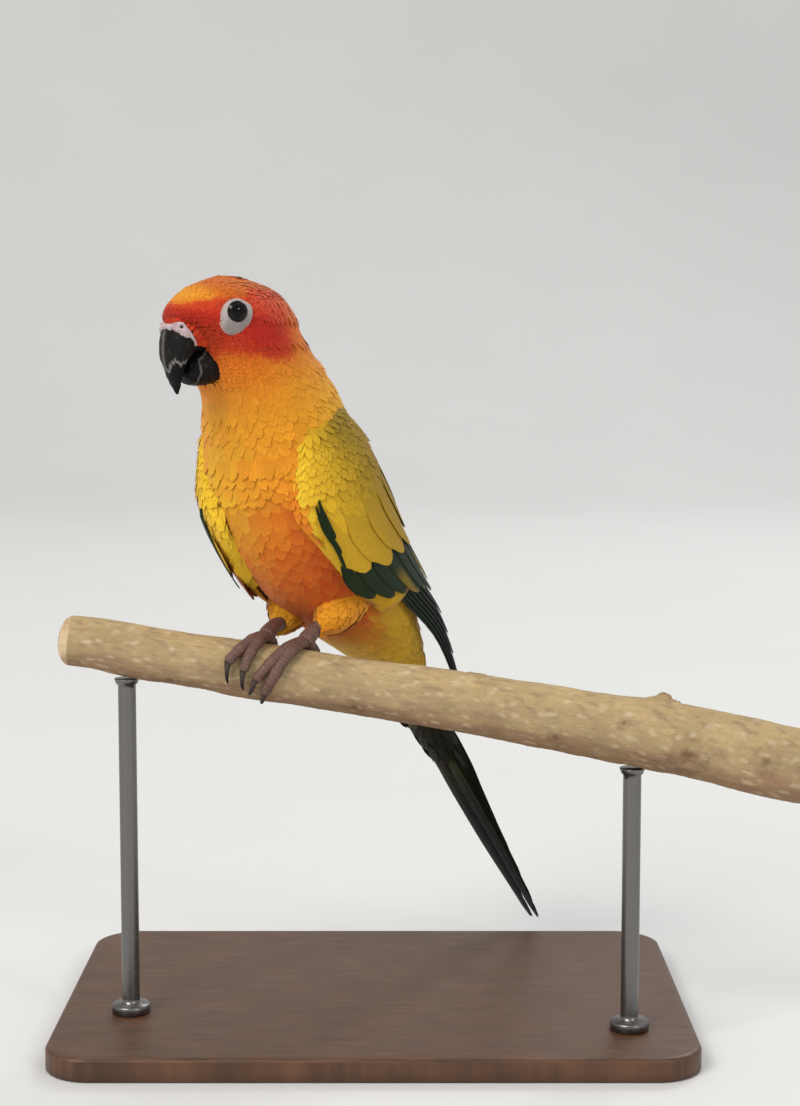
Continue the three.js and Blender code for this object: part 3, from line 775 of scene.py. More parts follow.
@dataclass(frozen=True)
class Markings:
    """The plumage's markings, shared by skin and coat."""

    front: Stops = (
        (0.0, Hue.YELLOW), (2.3, Hue.YELLOW), (3.2, Hue.ORANGE), (5.0, Hue.ORANGE),
        (6.6, Hue.AMBER), (8.0, Hue.AMBER), (9.6, Hue.ORANGE), (13.0, Hue.ORANGE),
    )
    rear: Stops = (
        (0.0, Hue.OLIVE_GOLD), (2.0, Hue.GOLD), (6.5, Hue.YELLOW),
        (8.6, Hue.AMBER), (10.5, Hue.ORANGE), (13.0, Hue.ORANGE),
    )

    def body(self, t: Array, angle: Array, points: Array) -> Array:
        """Colours of the body at places along and round it.

        The front's and the rear's stops are mixed by the angle. On the body a red bell lies low on
        the left of the belly, with yellow scallops over the breast. On the head the red mask
        fades out over the crown, towards the nape and below the eye.

        Args:
            t: places along the body's rings.
            angle: angles round them.
            points: the same places in the row frame.

        Returns:
            Linear colours.
        """
        turned = wrapped(angle)
        around = np.abs(turned)
        colour = blend(along_stops(t, self.front), along_stops(t, self.rear), smooth(1.0, 2.1, around))
        low_flank = smooth(0.7, 1.1, around) * (1 - smooth(2.8, 3.8, t))
        flank = np.maximum(low_flank, smooth(1.0, 1.25, around) * (1 - smooth(3.8, 4.8, t)))
        streaks = ripple(points, 11.0, 3)
        belly = bell(t, 4.5, 1.6) * bell(turned, 0.62, 0.72) * (1 - smooth(1.1, 1.5, turned))
        belly = belly + 0.4 * bell(t, 3.6, 1.0) * bell(turned, -0.5, 0.6)
        breast = bell(t, 6.6, 1.5) * bell(turned, -0.35, 0.62)
        colour = blend(
            colour, Hue.GOLD, flank,
            Hue.FLAME, (1.25 + 0.25 * streaks) * belly * (1 - flank),
            Hue.RED, 0.55 * bell(t, 3.9, 1.0) * bell(turned, 0.8, 0.45) * (1 - flank),
            Hue.YELLOW, breast * (0.45 + 0.45 * streaks),
        )
        return self.head(colour, t, points)

    def head(self, colour: Array, t: Array, points: Array) -> Array:
        """The head's mask and crown laid on a colour, as bells in the head's own axes.

        Args:
            colour: the colours so far.
            t: places along the body's rings.
            points: the same places in the row frame.

        Returns:
            Linear colours.
        """
        forward, left, up = to_head(points)
        head = smooth(8.6, 9.8, t)
        flow = ripple(np.stack([forward * 0.5, left, up], -1), 5.0, 7)
        brow = np.interp(forward, (-12, -1, 6.4, 9.8, 15.5, 20), (14.5, 14.8, 11.8, 10.4, 8.8, 7.2))
        low = -6.4 - 1.5 * smooth(6.0, 15.0, forward) + 0.8 * flow
        above = smooth(-0.8, 1.4, up - brow - 0.5 * flow)
        mask = smooth(-21.0, -10.0, forward + flow) * (1 - above) * smooth(low - 2.0, low + 1.8, up)
        core = bell(forward, 0.0, 15.0) * bell(up, 2.0, 8.0) * smooth(4.0, 9.0, np.abs(left))
        lit = mix(Hue.ORANGE.rgb, Hue.AMBER.rgb, 0.1 + 0.2 * flow[..., None]) * 0.78
        lit = mix(lit, mix(Hue.AMBER.rgb, Hue.YELLOW.rgb, 0.25), smooth(10.0, 17.0, forward)[..., None])
        band = smooth(9.0, 15.0, forward) * bell(up, 3.2, 3.4)
        return blend(
            colour, Hue.FLAME, 0.95 * mask * head, Hue.RED, 1.2 * core * mask * head,
            lit, 0.9 * above * head, Hue.RED, 0.85 * band * head,
        )


MARKINGS = Markings()


def varied(colour: Array, amount: float, seed: int) -> Array:
    """Colours with each feather's own lightness, times 1 plus a random share."""
    rng = np.random.default_rng(seed)
    return np.clip(colour * (1 + rng.normal(0, amount, (len(colour), 1))), 0, 1)


# Finishes


class Graph:
    """A node tree that is being wired."""

    def __init__(self, tree: Tree) -> None:
        """Takes the tree and empties it."""
        self.tree = tree
        tree.nodes.clear()

    def link(self, start: Socket, end: Socket) -> None:
        """Joins an output to an input."""
        self.tree.links.new(start, end)

    def node(self, kind: str, inputs: Inputs | None = None, **settings: object) -> Node:
        """Adds a node.

        Args:
            kind: the node's type name, without ShaderNode unless it has another prefix.
            inputs: values or output sockets by input name or number.
            settings: the node's own settings.

        Returns:
            The node.
        """
        made = self.tree.nodes.new(kind if kind.startswith("NodeGroup") else "ShaderNode" + kind)
        for key, value in settings.items():
            setattr(made, key, value)
        for key, value in (inputs or {}).items():
            if isinstance(value, Socket):
                self.link(value, made.inputs[key])
            else:
                made.inputs[key].default_value = value
        return made

    def math(self, operation: str, a: object, b: object = 0.0, c: object = 0.0) -> Socket:
        """The result of a Math node."""
        return self.node("Math", {0: a, 1: b, 2: c}, operation=operation).outputs[0]

    def times(self, a: object, b: object) -> Socket:
        """The product of two values."""
        return self.math("MULTIPLY", a, b)

    def shade(self, share: object, low: object, high: object, kind: str = "MIX") -> Socket:
        """The colour of a Mix node from low to high."""
        return self.node("Mix", {0: share, 6: low, 7: high}, data_type="RGBA", blend_type=kind).outputs[2]

    def spread(self, value: Socket, low: float, high: object, start: float = 0, end: float = 1) -> Socket:
        """value moved from the range low to high to the range start to end, and held in it."""
        return self.node("MapRange", {0: value, 1: low, 2: high, 3: start, 4: end}).outputs[0]

    def tone(self, noise: Socket, low: float, high: float) -> Socket:
        """A noise's usual range, 0.3 to 0.7, moved to run from low to high."""
        return self.spread(noise, 0.3, 0.7, low, high)

    def noise(self, place: Socket, scale: object, detail: float, more: Inputs | None = None) -> Socket:
        """Noise at a place, with so many octaves of detail."""
        inputs = {"Vector": place, "Scale": scale, "Detail": detail, **(more or {})}
        return self.node("TexNoise", inputs).outputs[0]

    def vane(self, along: float = 1.0, across: float = 1.0) -> Socket:
        """The Vane map's places, each coordinate times its factor."""
        place = self.node("UVMap", uv_map="Vane").outputs[0]
        return self.node("Mapping", {"Vector": place, "Scale": (along, across, 1.0)}).outputs[0]

    def mottle(self, scale: float, output: str = "Value") -> Socket:
        """Soft blotches of the Mottle group."""
        return self.node("Group", {"Scale": scale}, node_tree=MOTTLE).outputs[output]


def new_group(name: str, takes: dict[str, float], gives: tuple[str, ...]) -> tuple[Graph, Node, Node]:
    """An empty shader node group with number inputs and outputs.

    Args:
        name: its name.
        takes: inputs and their usual values.
        gives: outputs.

    Returns:
        The graph, its input node and its output node.
    """
    tree = bpy.data.node_groups.new(name, "ShaderNodeTree")
    graph = Graph(tree)
    for key, value in takes.items():
        tree.interface.new_socket(key, in_out="INPUT", socket_type="NodeSocketFloat").default_value = value
    for key in gives:
        tree.interface.new_socket(key, in_out="OUTPUT", socket_type="NodeSocketFloat")
    return graph, graph.node("NodeGroupInput"), graph.node("NodeGroupOutput")


def barb_group() -> Tree:
    """A feather's barbs and shaft from its Vane map.

    Barbs are sines of (along - slant |across|) over their pitch, roughened with noise, and the
    shaft is a narrow ridge where across is 0.
    """
    graph, takes, gives = new_group("Barbs", {"Pitch": 0.4, "Shaft": 0.3}, ("Height", "Line"))
    slant, wander = 0.8, 0.8
    place = graph.node("UVMap", uv_map="Vane").outputs[0]
    parts = graph.node("SeparateXYZ", {0: place})
    across = graph.math("ABSOLUTE", parts.outputs[0])
    phase = graph.math("SUBTRACT", parts.outputs[1], graph.times(across, slant))
    phase = graph.math("ADD", phase, graph.times(graph.noise(place, 1.3, 2.0), wander))
    wave = graph.math("SINE", graph.math("DIVIDE", graph.times(phase, TAU), takes.outputs["Pitch"]))
    line = graph.math("MULTIPLY_ADD", wave, 0.5, 0.5)
    ridge = graph.spread(across, 0.0, takes.outputs["Shaft"], 1.0, 0.0)
    graph.link(graph.math("MULTIPLY_ADD", line, 0.5, ridge), gives.inputs["Height"])
    graph.link(line, gives.inputs["Line"])
    return graph.tree


def mottle_group() -> Tree:
    """Soft blotches by object coordinates: Value at the scale, and Fine five times finer."""
    graph, takes, gives = new_group("Mottle", {"Scale": 200.0}, ("Value", "Fine"))
    place = graph.node("TexCoord").outputs["Object"]
    scale = takes.outputs["Scale"]
    graph.link(graph.noise(place, scale, 3.0), gives.inputs["Value"])
    graph.link(graph.noise(place, graph.times(scale, 5.0), 3.0), gives.inputs["Fine"])
    return graph.tree


BARBS = barb_group()
MOTTLE = mottle_group()


@dataclass
class Pattern:
    """What a finish draws: a tone that multiplies the pigment, and a height, its millimetres and strength."""

    tone: Socket
    height: Socket | None = None
    depth: float = 0.0
    strength: float = 0.6


@dataclass(frozen=True)
class Finish:
    """A finish: a name and its gloss. Colours come from each piece's Pigment."""

    name: str
    rough: float = 0.6
    specular: float = 0.4

    def gloss(self) -> Inputs:
        """More of the shader's inputs."""
        return {}

    def pattern(self, graph: Graph, shader: Node) -> Pattern:
        """The finish's pattern, in the graph of its material.

        Args:
            graph: the material's graph.
            shader: its shader.

        Returns:
            The pattern.
        """
        raise NotImplementedError

    def make(self) -> Material:
        """The material: its pigment times the pattern's tone, with the pattern's height as bump."""
        material = bpy.data.materials.new(self.name)
        material.use_nodes = True
        graph = Graph(material.node_tree)
        pigment = graph.node("Attribute", attribute_name="Pigment").outputs["Color"]
        base = {"Roughness": self.rough, "Specular IOR Level": self.specular}
        shader = graph.node("BsdfPrincipled", base | self.gloss())
        graph.node("OutputMaterial", {"Surface": shader.outputs[0]})
        drawn = self.pattern(graph, shader)
        graph.link(graph.shade(1.0, pigment, drawn.tone, "MULTIPLY"), shader.inputs["Base Color"])
        if drawn.height is not None:
            relief = {"Strength": drawn.strength, "Distance": drawn.depth * MM, "Height": drawn.height}
            graph.link(graph.node("Bump", relief).outputs[0], shader.inputs["Normal"])
        return material


@dataclass(frozen=True)
class FeatherFinish(Finish):
    """Plumage: barbs and a shaft over the pigment, with a soft sheen."""

    pitch: float = 0.4
    shaft: float = 0.12
    sheen: float = 0.08
    contrast: float = 0.16

    def gloss(self) -> Inputs:
        """A soft sheen."""
        return {"Sheen Weight": self.sheen, "Sheen Roughness": 0.5}

    def pattern(self, graph: Graph, shader: Node) -> Pattern:
        """Darker between barbs and in blotches."""
        barbs = graph.node("Group", {"Pitch": self.pitch, "Shaft": self.shaft}, node_tree=BARBS)
        lines = graph.spread(barbs.outputs["Line"], 0, 1, 1 - self.contrast, 1.0)
        blotches = graph.tone(graph.mottle(260.0, "Fine"), 0.9, 1.08)
        return Pattern(graph.times(lines, blotches), barbs.outputs["Height"], 0.1)


@dataclass(frozen=True)
class HornFinish(Finish):
    """Bill and claws: fine layered streaks with a dull polish."""

    coat: float = 0.03

    def gloss(self) -> Inputs:
        """A thin, dull coat."""
        return {"Coat Weight": self.coat, "Coat Roughness": 0.35}

    def pattern(self, graph: Graph, shader: Node) -> Pattern:
        """Streaks along the Vane map in colour, roughness and bump."""
        streaks = graph.noise(graph.vane(1.0, 5.0), 1.1, 4.0)
        tone = graph.times(graph.tone(streaks, 0.8, 1.2), graph.tone(graph.mottle(420.0), 0.8, 1.2))
        graph.link(graph.tone(streaks, self.rough - 0.1, self.rough + 0.15), shader.inputs["Roughness"])
        return Pattern(tone, graph.math("ADD", streaks, graph.mottle(420.0, "Fine")), 0.22, 0.5)


@dataclass(frozen=True)
class SkinFinish(Finish):
    """Bare skin: creases or scales over the pigment, a little light passing through it."""

    cell: float = 900.0
    depth: float = 0.15
    through: float = 0.15

    def gloss(self) -> Inputs:
        """Light that passes through, red furthest."""
        return {"Subsurface Weight": self.through, "Subsurface Radius": (0.9 * MM, 0.4 * MM, 0.3 * MM)}

    def pattern(self, graph: Graph, shader: Node) -> Pattern:
        """Cells of a Voronoi pattern as scales, with blotches."""
        inputs = {"Vector": graph.node("TexCoord").outputs["Object"], "Scale": self.cell}
        edge = graph.node("TexVoronoi", inputs, feature="DISTANCE_TO_EDGE").outputs[0]
        scale = graph.spread(edge, 0.0, 0.18)
        blotches = graph.tone(graph.mottle(300.0), 0.85, 1.12)
        return Pattern(graph.times(graph.spread(scale, 0, 1, 0.72, 1.04), blotches), scale, self.depth)


@dataclass(frozen=True)
class EyeFinish(Finish):
    """A wet eye: its pigment under a clear, sharp gloss."""

    def gloss(self) -> Inputs:
        """A thin, clear coat."""
        return {"Coat Weight": 0.08, "Coat Roughness": 0.02}

    def pattern(self, graph: Graph, shader: Node) -> Pattern:
        """Fine mottling in the iris's pigment."""
        return Pattern(graph.tone(graph.mottle(2200.0), 0.75, 1.2))


@dataclass(frozen=True)
class WoodFinish(Finish):
    """Wood: grain that runs along the Vane map, with pores and blotches."""

    grain: float = 0.35
    depth: float = 0.2
    stretch: float = 12.0

    def pattern(self, graph: Graph, shader: Node) -> Pattern:
        """Stretched noise as grain, darker pores, and soft blotches."""
        place = graph.vane(1.0 / self.stretch)
        grain = graph.noise(place, 0.9, 6.0, {"Roughness": 0.6, "Distortion": 0.3})
        pores = graph.noise(place, 4.5, 3.0)
        tone = graph.spread(grain, 0.32, 0.68, 1 - self.grain, 1 + self.grain / 2)
        tone = graph.times(tone, graph.spread(pores, 0.35, 0.5, 0.86, 1.02))
        tone = graph.times(tone, graph.tone(graph.mottle(90.0), 0.88, 1.1))
        return Pattern(tone, graph.math("ADD", grain, graph.times(pores, 0.5)), self.depth)


@dataclass(frozen=True)
class MetalFinish(Finish):
    """Brushed and lacquered steel."""

    def gloss(self) -> Inputs:
        """Bare metal."""
        return {"Metallic": 1.0}

    def pattern(self, graph: Graph, shader: Node) -> Pattern:
        """Fine brushing round the rod in tone, roughness and bump."""
        brush = graph.noise(graph.vane(0.1, 6.0), 2.0, 3.0)
        graph.link(graph.tone(brush, self.rough - 0.08, self.rough + 0.1), shader.inputs["Roughness"])
        return Pattern(graph.tone(brush, 0.9, 1.1), brush, 0.03, 0.3)


# The body's skin and its coat


@dataclass(frozen=True)
class Thigh:
    """A feathered thigh: its hip and knee in the bird's axes."""

    name: str
    hip: Vector
    knee: Vector


THIGHS = (
    Thigh("left", (12, 31, 28), (10.5, 15, 15)),
    Thigh("right", (-12, 33, 28), (-9.5, 18.5, 13.5)),
)


@dataclass(frozen=True)
class ThighSurface(Surface):
    """A thigh as a tapering tube: p from the hip at 0 to the knee at 1, q round it."""

    thigh: Thigh
    base: float = 9.5

    def point(self, p: Array, q: Array, out: Real = 0.0) -> Array:
        """hip + (knee - hip) p, and base - 1.2 p - 3.4 p^4 out from there."""
        p, q = paired(p, q)
        hip, knee = from_bird(*self.thigh.hip), from_bird(*self.thigh.knee)
        along = unit(knee - hip)
        side = unit(np.cross(along, UP))
        other = np.cross(along, side)
        radius = (self.base - 1.2 * p - 3.4 * p**4 + out)[..., None]
        ring = side * np.cos(q)[..., None] + other * np.sin(q)[..., None]
        return hip + (knee - hip) * p[..., None] + ring * radius


@dataclass(frozen=True)
class TailAxes:
    """The tail's root and its axes in the bird's left, back and up."""

    root: Vector = (2, 74, -10)
    way: Vector = (0.12, 0.59, -0.798)

    def point(self, far: Array, left: Array, over: Array) -> Array:
        """root + along far + left left + over over, in the row frame.

        Args:
            far: millimetres along the tail.
            left: millimetres to the left.
            over: millimetres above.

        Returns:
            The points.
        """
        along = unit(np.array(self.way))
        aside = unit(np.array([1.0, 0, 0]) - along * along[0])
        above = np.cross(along, aside)
        far, left, over = np.broadcast_arrays(far, left, over)
        p = np.array(self.root) + far[..., None] * along + left[..., None] * aside + over[..., None] * above
        return from_bird(p[..., 0], p[..., 1], p[..., 2])


TAIL_AXES = TailAxes()


@dataclass(frozen=True)
class TailRump(Surface):
    """The tail's fleshy root: p along it in millimetres, q round it."""

    far: tuple[float, ...] = (-6, 1.6, 12, 26, 40, 50)
    half: tuple[float, ...] = (8.2, 8.6, 8.6, 8.3, 7.4, 5.4)
    high: tuple[float, ...] = (6.2, 6, 5.6, 4.6, 3.4, 1.8)

    def point(self, p: Array, q: Array, out: Real = 0.0) -> Array:
        """An ellipse of the half width and height at p."""
        p, q = paired(p, q)
        half, high = np.interp(p, self.far, self.half) + out, np.interp(p, self.far, self.high) + out
        return TAIL_AXES.point(p, np.cos(q) * half, np.sin(q) * high - 0.3)


class Side(Enum):
    """The two sides of the bird, with the wing's front edge at each wing ring, in degrees."""

    LEFT = (1, (60, 38, 44, 48, 58, 68, 74, 80, 90))
    RIGHT = (-1, (60, 24, 24, 34, 52, 66, 74, 80, 90))

    @property
    def sign(self) -> int:
        """1 to the left and -1 to the right."""
        return self.value[0]

    @property
    def word(self) -> str:
        """The side in lower case."""
        return self.name.lower()


WING_STEP = 20.0
BACK_EDGE = (128, 150, 162, 168, 168, 164, 156, 148, 140)


@dataclass(frozen=True)
class WingSurface(Surface):
    """A folded wing: p from the shoulder in millimetres, q from its front edge at 0 to its back edge at 1."""

    side: Side
    deep: float = 4.8
    edge: float = 8.0

    def edges(self, at: Array) -> tuple[Array, Array]:
        """The angles of the front and back edges, in radians.

        Args:
            at: millimetres from the shoulder.

        Returns:
            The front edge's angles and the back edge's.
        """
        t = np.asarray(at, float) / WING_STEP
        pick = lambda values: np.radians(spline(np.array(values, float)[:, None], t)[..., 0])
        return pick(self.side.value[1]), pick(BACK_EDGE)

    def radius(self, at: Array) -> Array:
        """The mean of the section's half width and rear depth."""
        rings = spline(WING_ROWS, np.asarray(at, float) / WING_STEP)
        return (rings[..., 3] + rings[..., 5]) / 2

    def span(self, at: Array) -> Array:
        """Millimetres from the front edge to the back edge."""
        front, back = self.edges(at)
        return (back - front) * self.radius(at)

    def place(self, at: Array, across: Array, shift: Array, out: Array) -> Array:
        """Points at a share across, moved by shift millimetres round the section, out from its surface.

        Args:
            at: millimetres from the shoulder.
            across: shares from the front edge to the back.
            shift: millimetres round the section.
            out: the height over the surface.

        Returns:
            The points.
        """
        at, across, shift, out = np.broadcast_arrays(at, across, shift, out)
        front, back = self.edges(at)
        angle = mix(front, back, across) + shift / self.radius(at)
        return WING_LOFT.point(at / WING_STEP, self.side.sign * angle, out)

    def point(self, p: Array, q: Array, out: Real = 0.0) -> Array:
        """The wing's padded surface, which rolls down at both edges by deep (1 - sqrt(1 - |2q - 1|^edge))."""
        p, q = paired(p, q)
        near = np.clip(np.abs(2 * q - 1), 0, 0.998) ** self.edge
        roll = self.deep * (1 - np.sqrt(1 - near))
        level = np.interp(p, (0, 16, 31, 47, 62, 78), (-2.2, -0.7, -1.0, -1.7, -2.6, -3.6))
        return self.place(p, q, (2 * q - 1) * out * near, level - roll + out * (1 - near))


def grid_skin(surface: Surface, p: Array, q: Array, out: Real, colour: Tinting | Array) -> Sheet:
    """A closed skin over a surface that goes right round, with fans at its ends.

    Args:
        surface: what it follows.
        p: first parameters of the rings.
        q: second parameters of the places round them.
        out: its height, a number or one for each ring.
        colour: one colour, or colours from p, q and the points.

    Returns:
        The sheet.
    """
    p, q = crossed(p, q)
    points = surface.point(p, q, np.broadcast_to(np.reshape(out, (-1, 1)), p.shape))
    return tube_sheet(points, colour(p, q, points) if callable(colour) else colour)


class Half(Enum):
    """Which half of the body a part of the coat is on."""

    BOTH = 0
    FRONT = 1
    REAR = -1

    def holds(self, angle: Array) -> Mask:
        """Whether angles round the body are in it."""
        return np.cos(angle) * self.value >= 0


@dataclass(frozen=True)
class Part:
    """A part of the coat: its range along the rings, its rows' pitch, and the heights of root and tip."""

    name: str
    slot: str
    ends: tuple[float, float]
    pitch: float
    rise: tuple[float, float]
    seed: int
    half: Half = Half.BOTH
    plume: Plume = Plume(camber=0.05, soft=0.88)


FACE_PLUME = Plume(rows=5, cols=5, round=0.35, camber=0.06, soft=0.8)
PARTS = (
    Part("head", "feathers_head", (8.7, 13.8), 1.05, (-0.5, -0.02), 11, plume=FACE_PLUME),
    Part("neck", "feathers_neck", (6.9, 8.9), 2.1, (-0.5, 0.0), 21),
    Part("breast", "feathers_body", (0.1, 7.1), 2.8, (-0.5, 0.0), 31, Half.FRONT),
    Part("back", "feathers_body", (0.1, 7.1), 2.8, (-0.75, 0.0), 41, Half.REAR),
)


@dataclass(frozen=True)
class Plumage:
    """The bird's skin and its body feathers: sizes in millimetres."""

    bill_base: Vector = (17.0, 0.0, -3.0)
    skin_body: float = -1.3
    skin_head: float = -0.65

    def skin_depth(self, t: Array) -> Array:
        """The skin's height, from the body's to the head's."""
        return mix(self.skin_body, self.skin_head, smooth(8.0, 10.2, t))

    def skin(self) -> Sheet:
        """One skin: body, thighs, tail root and the pads of both wings."""
        t = np.concatenate([np.linspace(0, 13, 96), np.linspace(13.2, 14, 6)])
        around = turns(96)
        few = around[::3]
        thighs = [grid_skin(ThighSurface(x), np.linspace(0, 1, 16), few, -1.2, Hue.AMBER.rgb) for x in THIGHS]
        return joined([
            grid_skin(BODY_LOFT, t, around, self.skin_depth(t), MARKINGS.body),
            *thighs,
            grid_skin(TailRump(), np.linspace(-4, 50, 24), few, -0.9, Hue.GOLD.rgb),
            *(self.wing_pad(side) for side in Side),
        ])

    def wing_pad(self, side: Side) -> Sheet:
        """A wing's flesh under the coverts, as a closed plate."""
        surface = WingSurface(side)
        p, q = crossed(np.linspace(-4, 74, 30), np.linspace(0.015, 0.985, 22))
        top = surface.point(p, q, -0.5)[None]
        bottom = surface.place(p, q, (1 - 2 * q) * 0.8, -5.5)[None]
        places = np.stack([q, p / 80], -1)[None]
        return plate_sheets(top, bottom, Hue.GOLD.rgb, places, places)

    def lie(self, points: Array) -> Array:
        """The lie of the coat: away from the bill on the face, and more and more down the spine behind it.

        Args:
            points: the feathers' roots.

        Returns:
            A direction for each.
        """
        bill = from_head(*self.bill_base)
        away = unit(points - bill)
        far = np.linalg.norm(points - bill, axis=-1)
        height = points[..., 2] - GRIP[2]
        back, ups, side = BODY_ROWS[:, [0, 1, 7]].T
        middle = from_bird(side, back, ups)
        tangent = unit(np.gradient(middle, axis=0)) * -1
        spine = np.stack([np.interp(height, ups, tangent[:, k]) for k in range(3)], -1)
        share = smooth(12.0, 36.0, far)[..., None]
        return away * (1 - share) + 1.2 * spine * share

    def hidden_by_wing(self, t: Array, angle: Array) -> Mask:
        """Whether a place lies well under a wing: between first and last ring, and inside both edges.

        Args:
            t: places along the body's rings.
            angle: angles round them.

        Returns:
            True where a wing hides the place.
        """
        first, last, in_front, behind = 3.3, 6.9, 0.16, 0.1
        backs = spline(BODY_ROWS, t)[..., 0]
        at = np.interp(backs, WING_ROWS[:, 0], np.arange(len(WING_ROWS)) * WING_STEP)
        hidden = np.zeros(t.shape, bool)
        for side in Side:
            front, back = WingSurface(side).edges(at)
            turned = wrapped(angle) * side.sign
            hidden |= (turned > front + in_front) & (turned < back - behind)
        return hidden & (t < last) & (t > first)

    def bare(self, points: Array) -> Mask:
        """Whether a place is bare: under bill or cere, in an eye's ring, or at the crown's apex.

        Args:
            points: places in the row frame.

        Returns:
            True where no feather stands.
        """
        forward, left, up = to_head(points)
        upper = ((left / 7.0) ** 2 + ((up + 2.8) / 5.4) ** 2 < 1) & (forward > 4)
        lower = ((left / 6.7) ** 2 + ((up + 10.8) / 6.0) ** 2 < 1) & (forward > 2)
        apex = (np.hypot(forward + 1.5, left) < 1.0) & (up > 15)
        left_eye, right_eye = (Eye(side).inside(points) for side in Side)
        return upper | lower | apex | left_eye | right_eye

    def feathers(self, part: Part) -> Sheet:
        """The feathers of one part of the body, in even rows, each tinted from where it stands.

        Args:
            part: the part's rows, heights and plume.

        Returns:
            The sheet.
        """
        size = self.head_size if part.name == "head" else self.body_size
        fine = np.linspace(*part.ends, 200)
        middles = BODY_LOFT.point(fine, np.full_like(fine, math.pi / 2))
        run = distance(middles)
        rows = np.interp(np.linspace(0, run[-1], max(2, round(run[-1] / part.pitch))), run, fine)
        spacing = 0.56
        t, angle = scattered(BODY_LOFT, rows, (0, TAU), lambda p, q: (size(p, q) * spacing) ** 2, part.seed)
        seats = seats_on(BODY_LOFT, t, angle, self.lie, 0.1, part.seed + 1)
        seats = seats.kept(part.half.holds(angle) & ~self.bare(seats.at) & ~self.hidden_by_wing(t, angle))
        width = size(seats.p, seats.q)
        own = MARKINGS.body(seats.p, seats.q, seats.at)
        # painted shade: each feather's root is darker than its tip, where the feather above overlaps it, and
        # darker still towards the vent
        vent = 1 - smooth(1.8, 3.4, seats.p)
        tint = varied(own * (0.9 - 0.25 * vent)[:, None], 0.05, part.seed + 2)
        tip = blend(own, Hue.YELLOW, 0.2 * smooth(2.5, 5.0, width) + 0.35 * vent)
        tip = varied(tip, 0.05, part.seed + 3)
        patch = np.stack([0.01 + 0.98 * (seats.q % TAU) / TAU, 0.01 + 0.98 * seats.p / 14], -1)
        LOG.info("%s: %d feathers", part.name, len(seats))
        length = width * LENGTH_TO_WIDTH
        return part.plume.lay(seats, length, width, part.rise, tint, tip, patch, part.seed + 4)

    def head_size(self, t: Array, angle: Array) -> Array:
        """Feather width on the head, 1.3 at the bill and 4.2 at the nape."""
        far = np.linalg.norm(BODY_LOFT.point(t, angle) - from_head(*self.bill_base), axis=-1)
        return np.interp(far, (6, 20, 34, 46), (1.3, 2.1, 2.9, 4.2))

    def body_size(self, t: Array, angle: Array) -> Array:
        """Feather width on the body, 4.4 at the neck and up to 7.6 at the belly."""
        return np.interp(t, (0, 2, 5, 7, 8.5), (6.4, 7.6, 7.2, 5.8, 4.4))

    def thigh_coat(self) -> Sheet:
        """The thighs' tufts: soft feathers down to the knee."""
        sheets = []
        for k, thigh in enumerate(THIGHS):
            surface = ThighSurface(thigh)
            p, q = scattered(surface, np.linspace(0.0, 1.02, 13), (0, TAU), 6.0, 51 + k)
            down = from_bird(*thigh.knee) - from_bird(*thigh.hip)
            way = lambda points, down=down: np.broadcast_to(down, points.shape)
            seats = seats_on(surface, p, q, way, 0.16, 61 + k)
            base = blend(Hue.AMBER, Hue.YELLOW, 0.5 * k * smooth(0.2, 1.0, p))
            # painted shade: the roots a little darker than the tips, where the feathers overlap
            tint = varied(base * 0.95, 0.04, 71 + k)
            tip = mix(tint, Hue.YELLOW.rgb, 0.2)
            patch = np.stack([0.01 + 0.48 * (q % TAU) / TAU + 0.5 * k, 0.02 + 0.9 * np.clip(p, 0, 1)], -1)
            tuft = Plume(camber=0.05, soft=0.9)
            sheets.append(tuft.lay(seats, 7.0, 4.2, (-0.7, 0.1), tint, tip, patch, 81 + k))
        return joined(sheets)

    def build(self, feather: Material, skin: Material) -> None:
        """Makes the skin and the body's coat."""
        nodes = ("torso", "neck", "head", "thigh_left", "thigh_right")
        make_piece("skin", self.skin(), skin, "feathers_body", nodes)
        for part in PARTS:
            make_piece(f"coat_{part.name}", self.feathers(part), feather, part.slot)
        make_piece("coat_thighs", self.thigh_coat(), feather, "feathers_thigh")


# Eyes


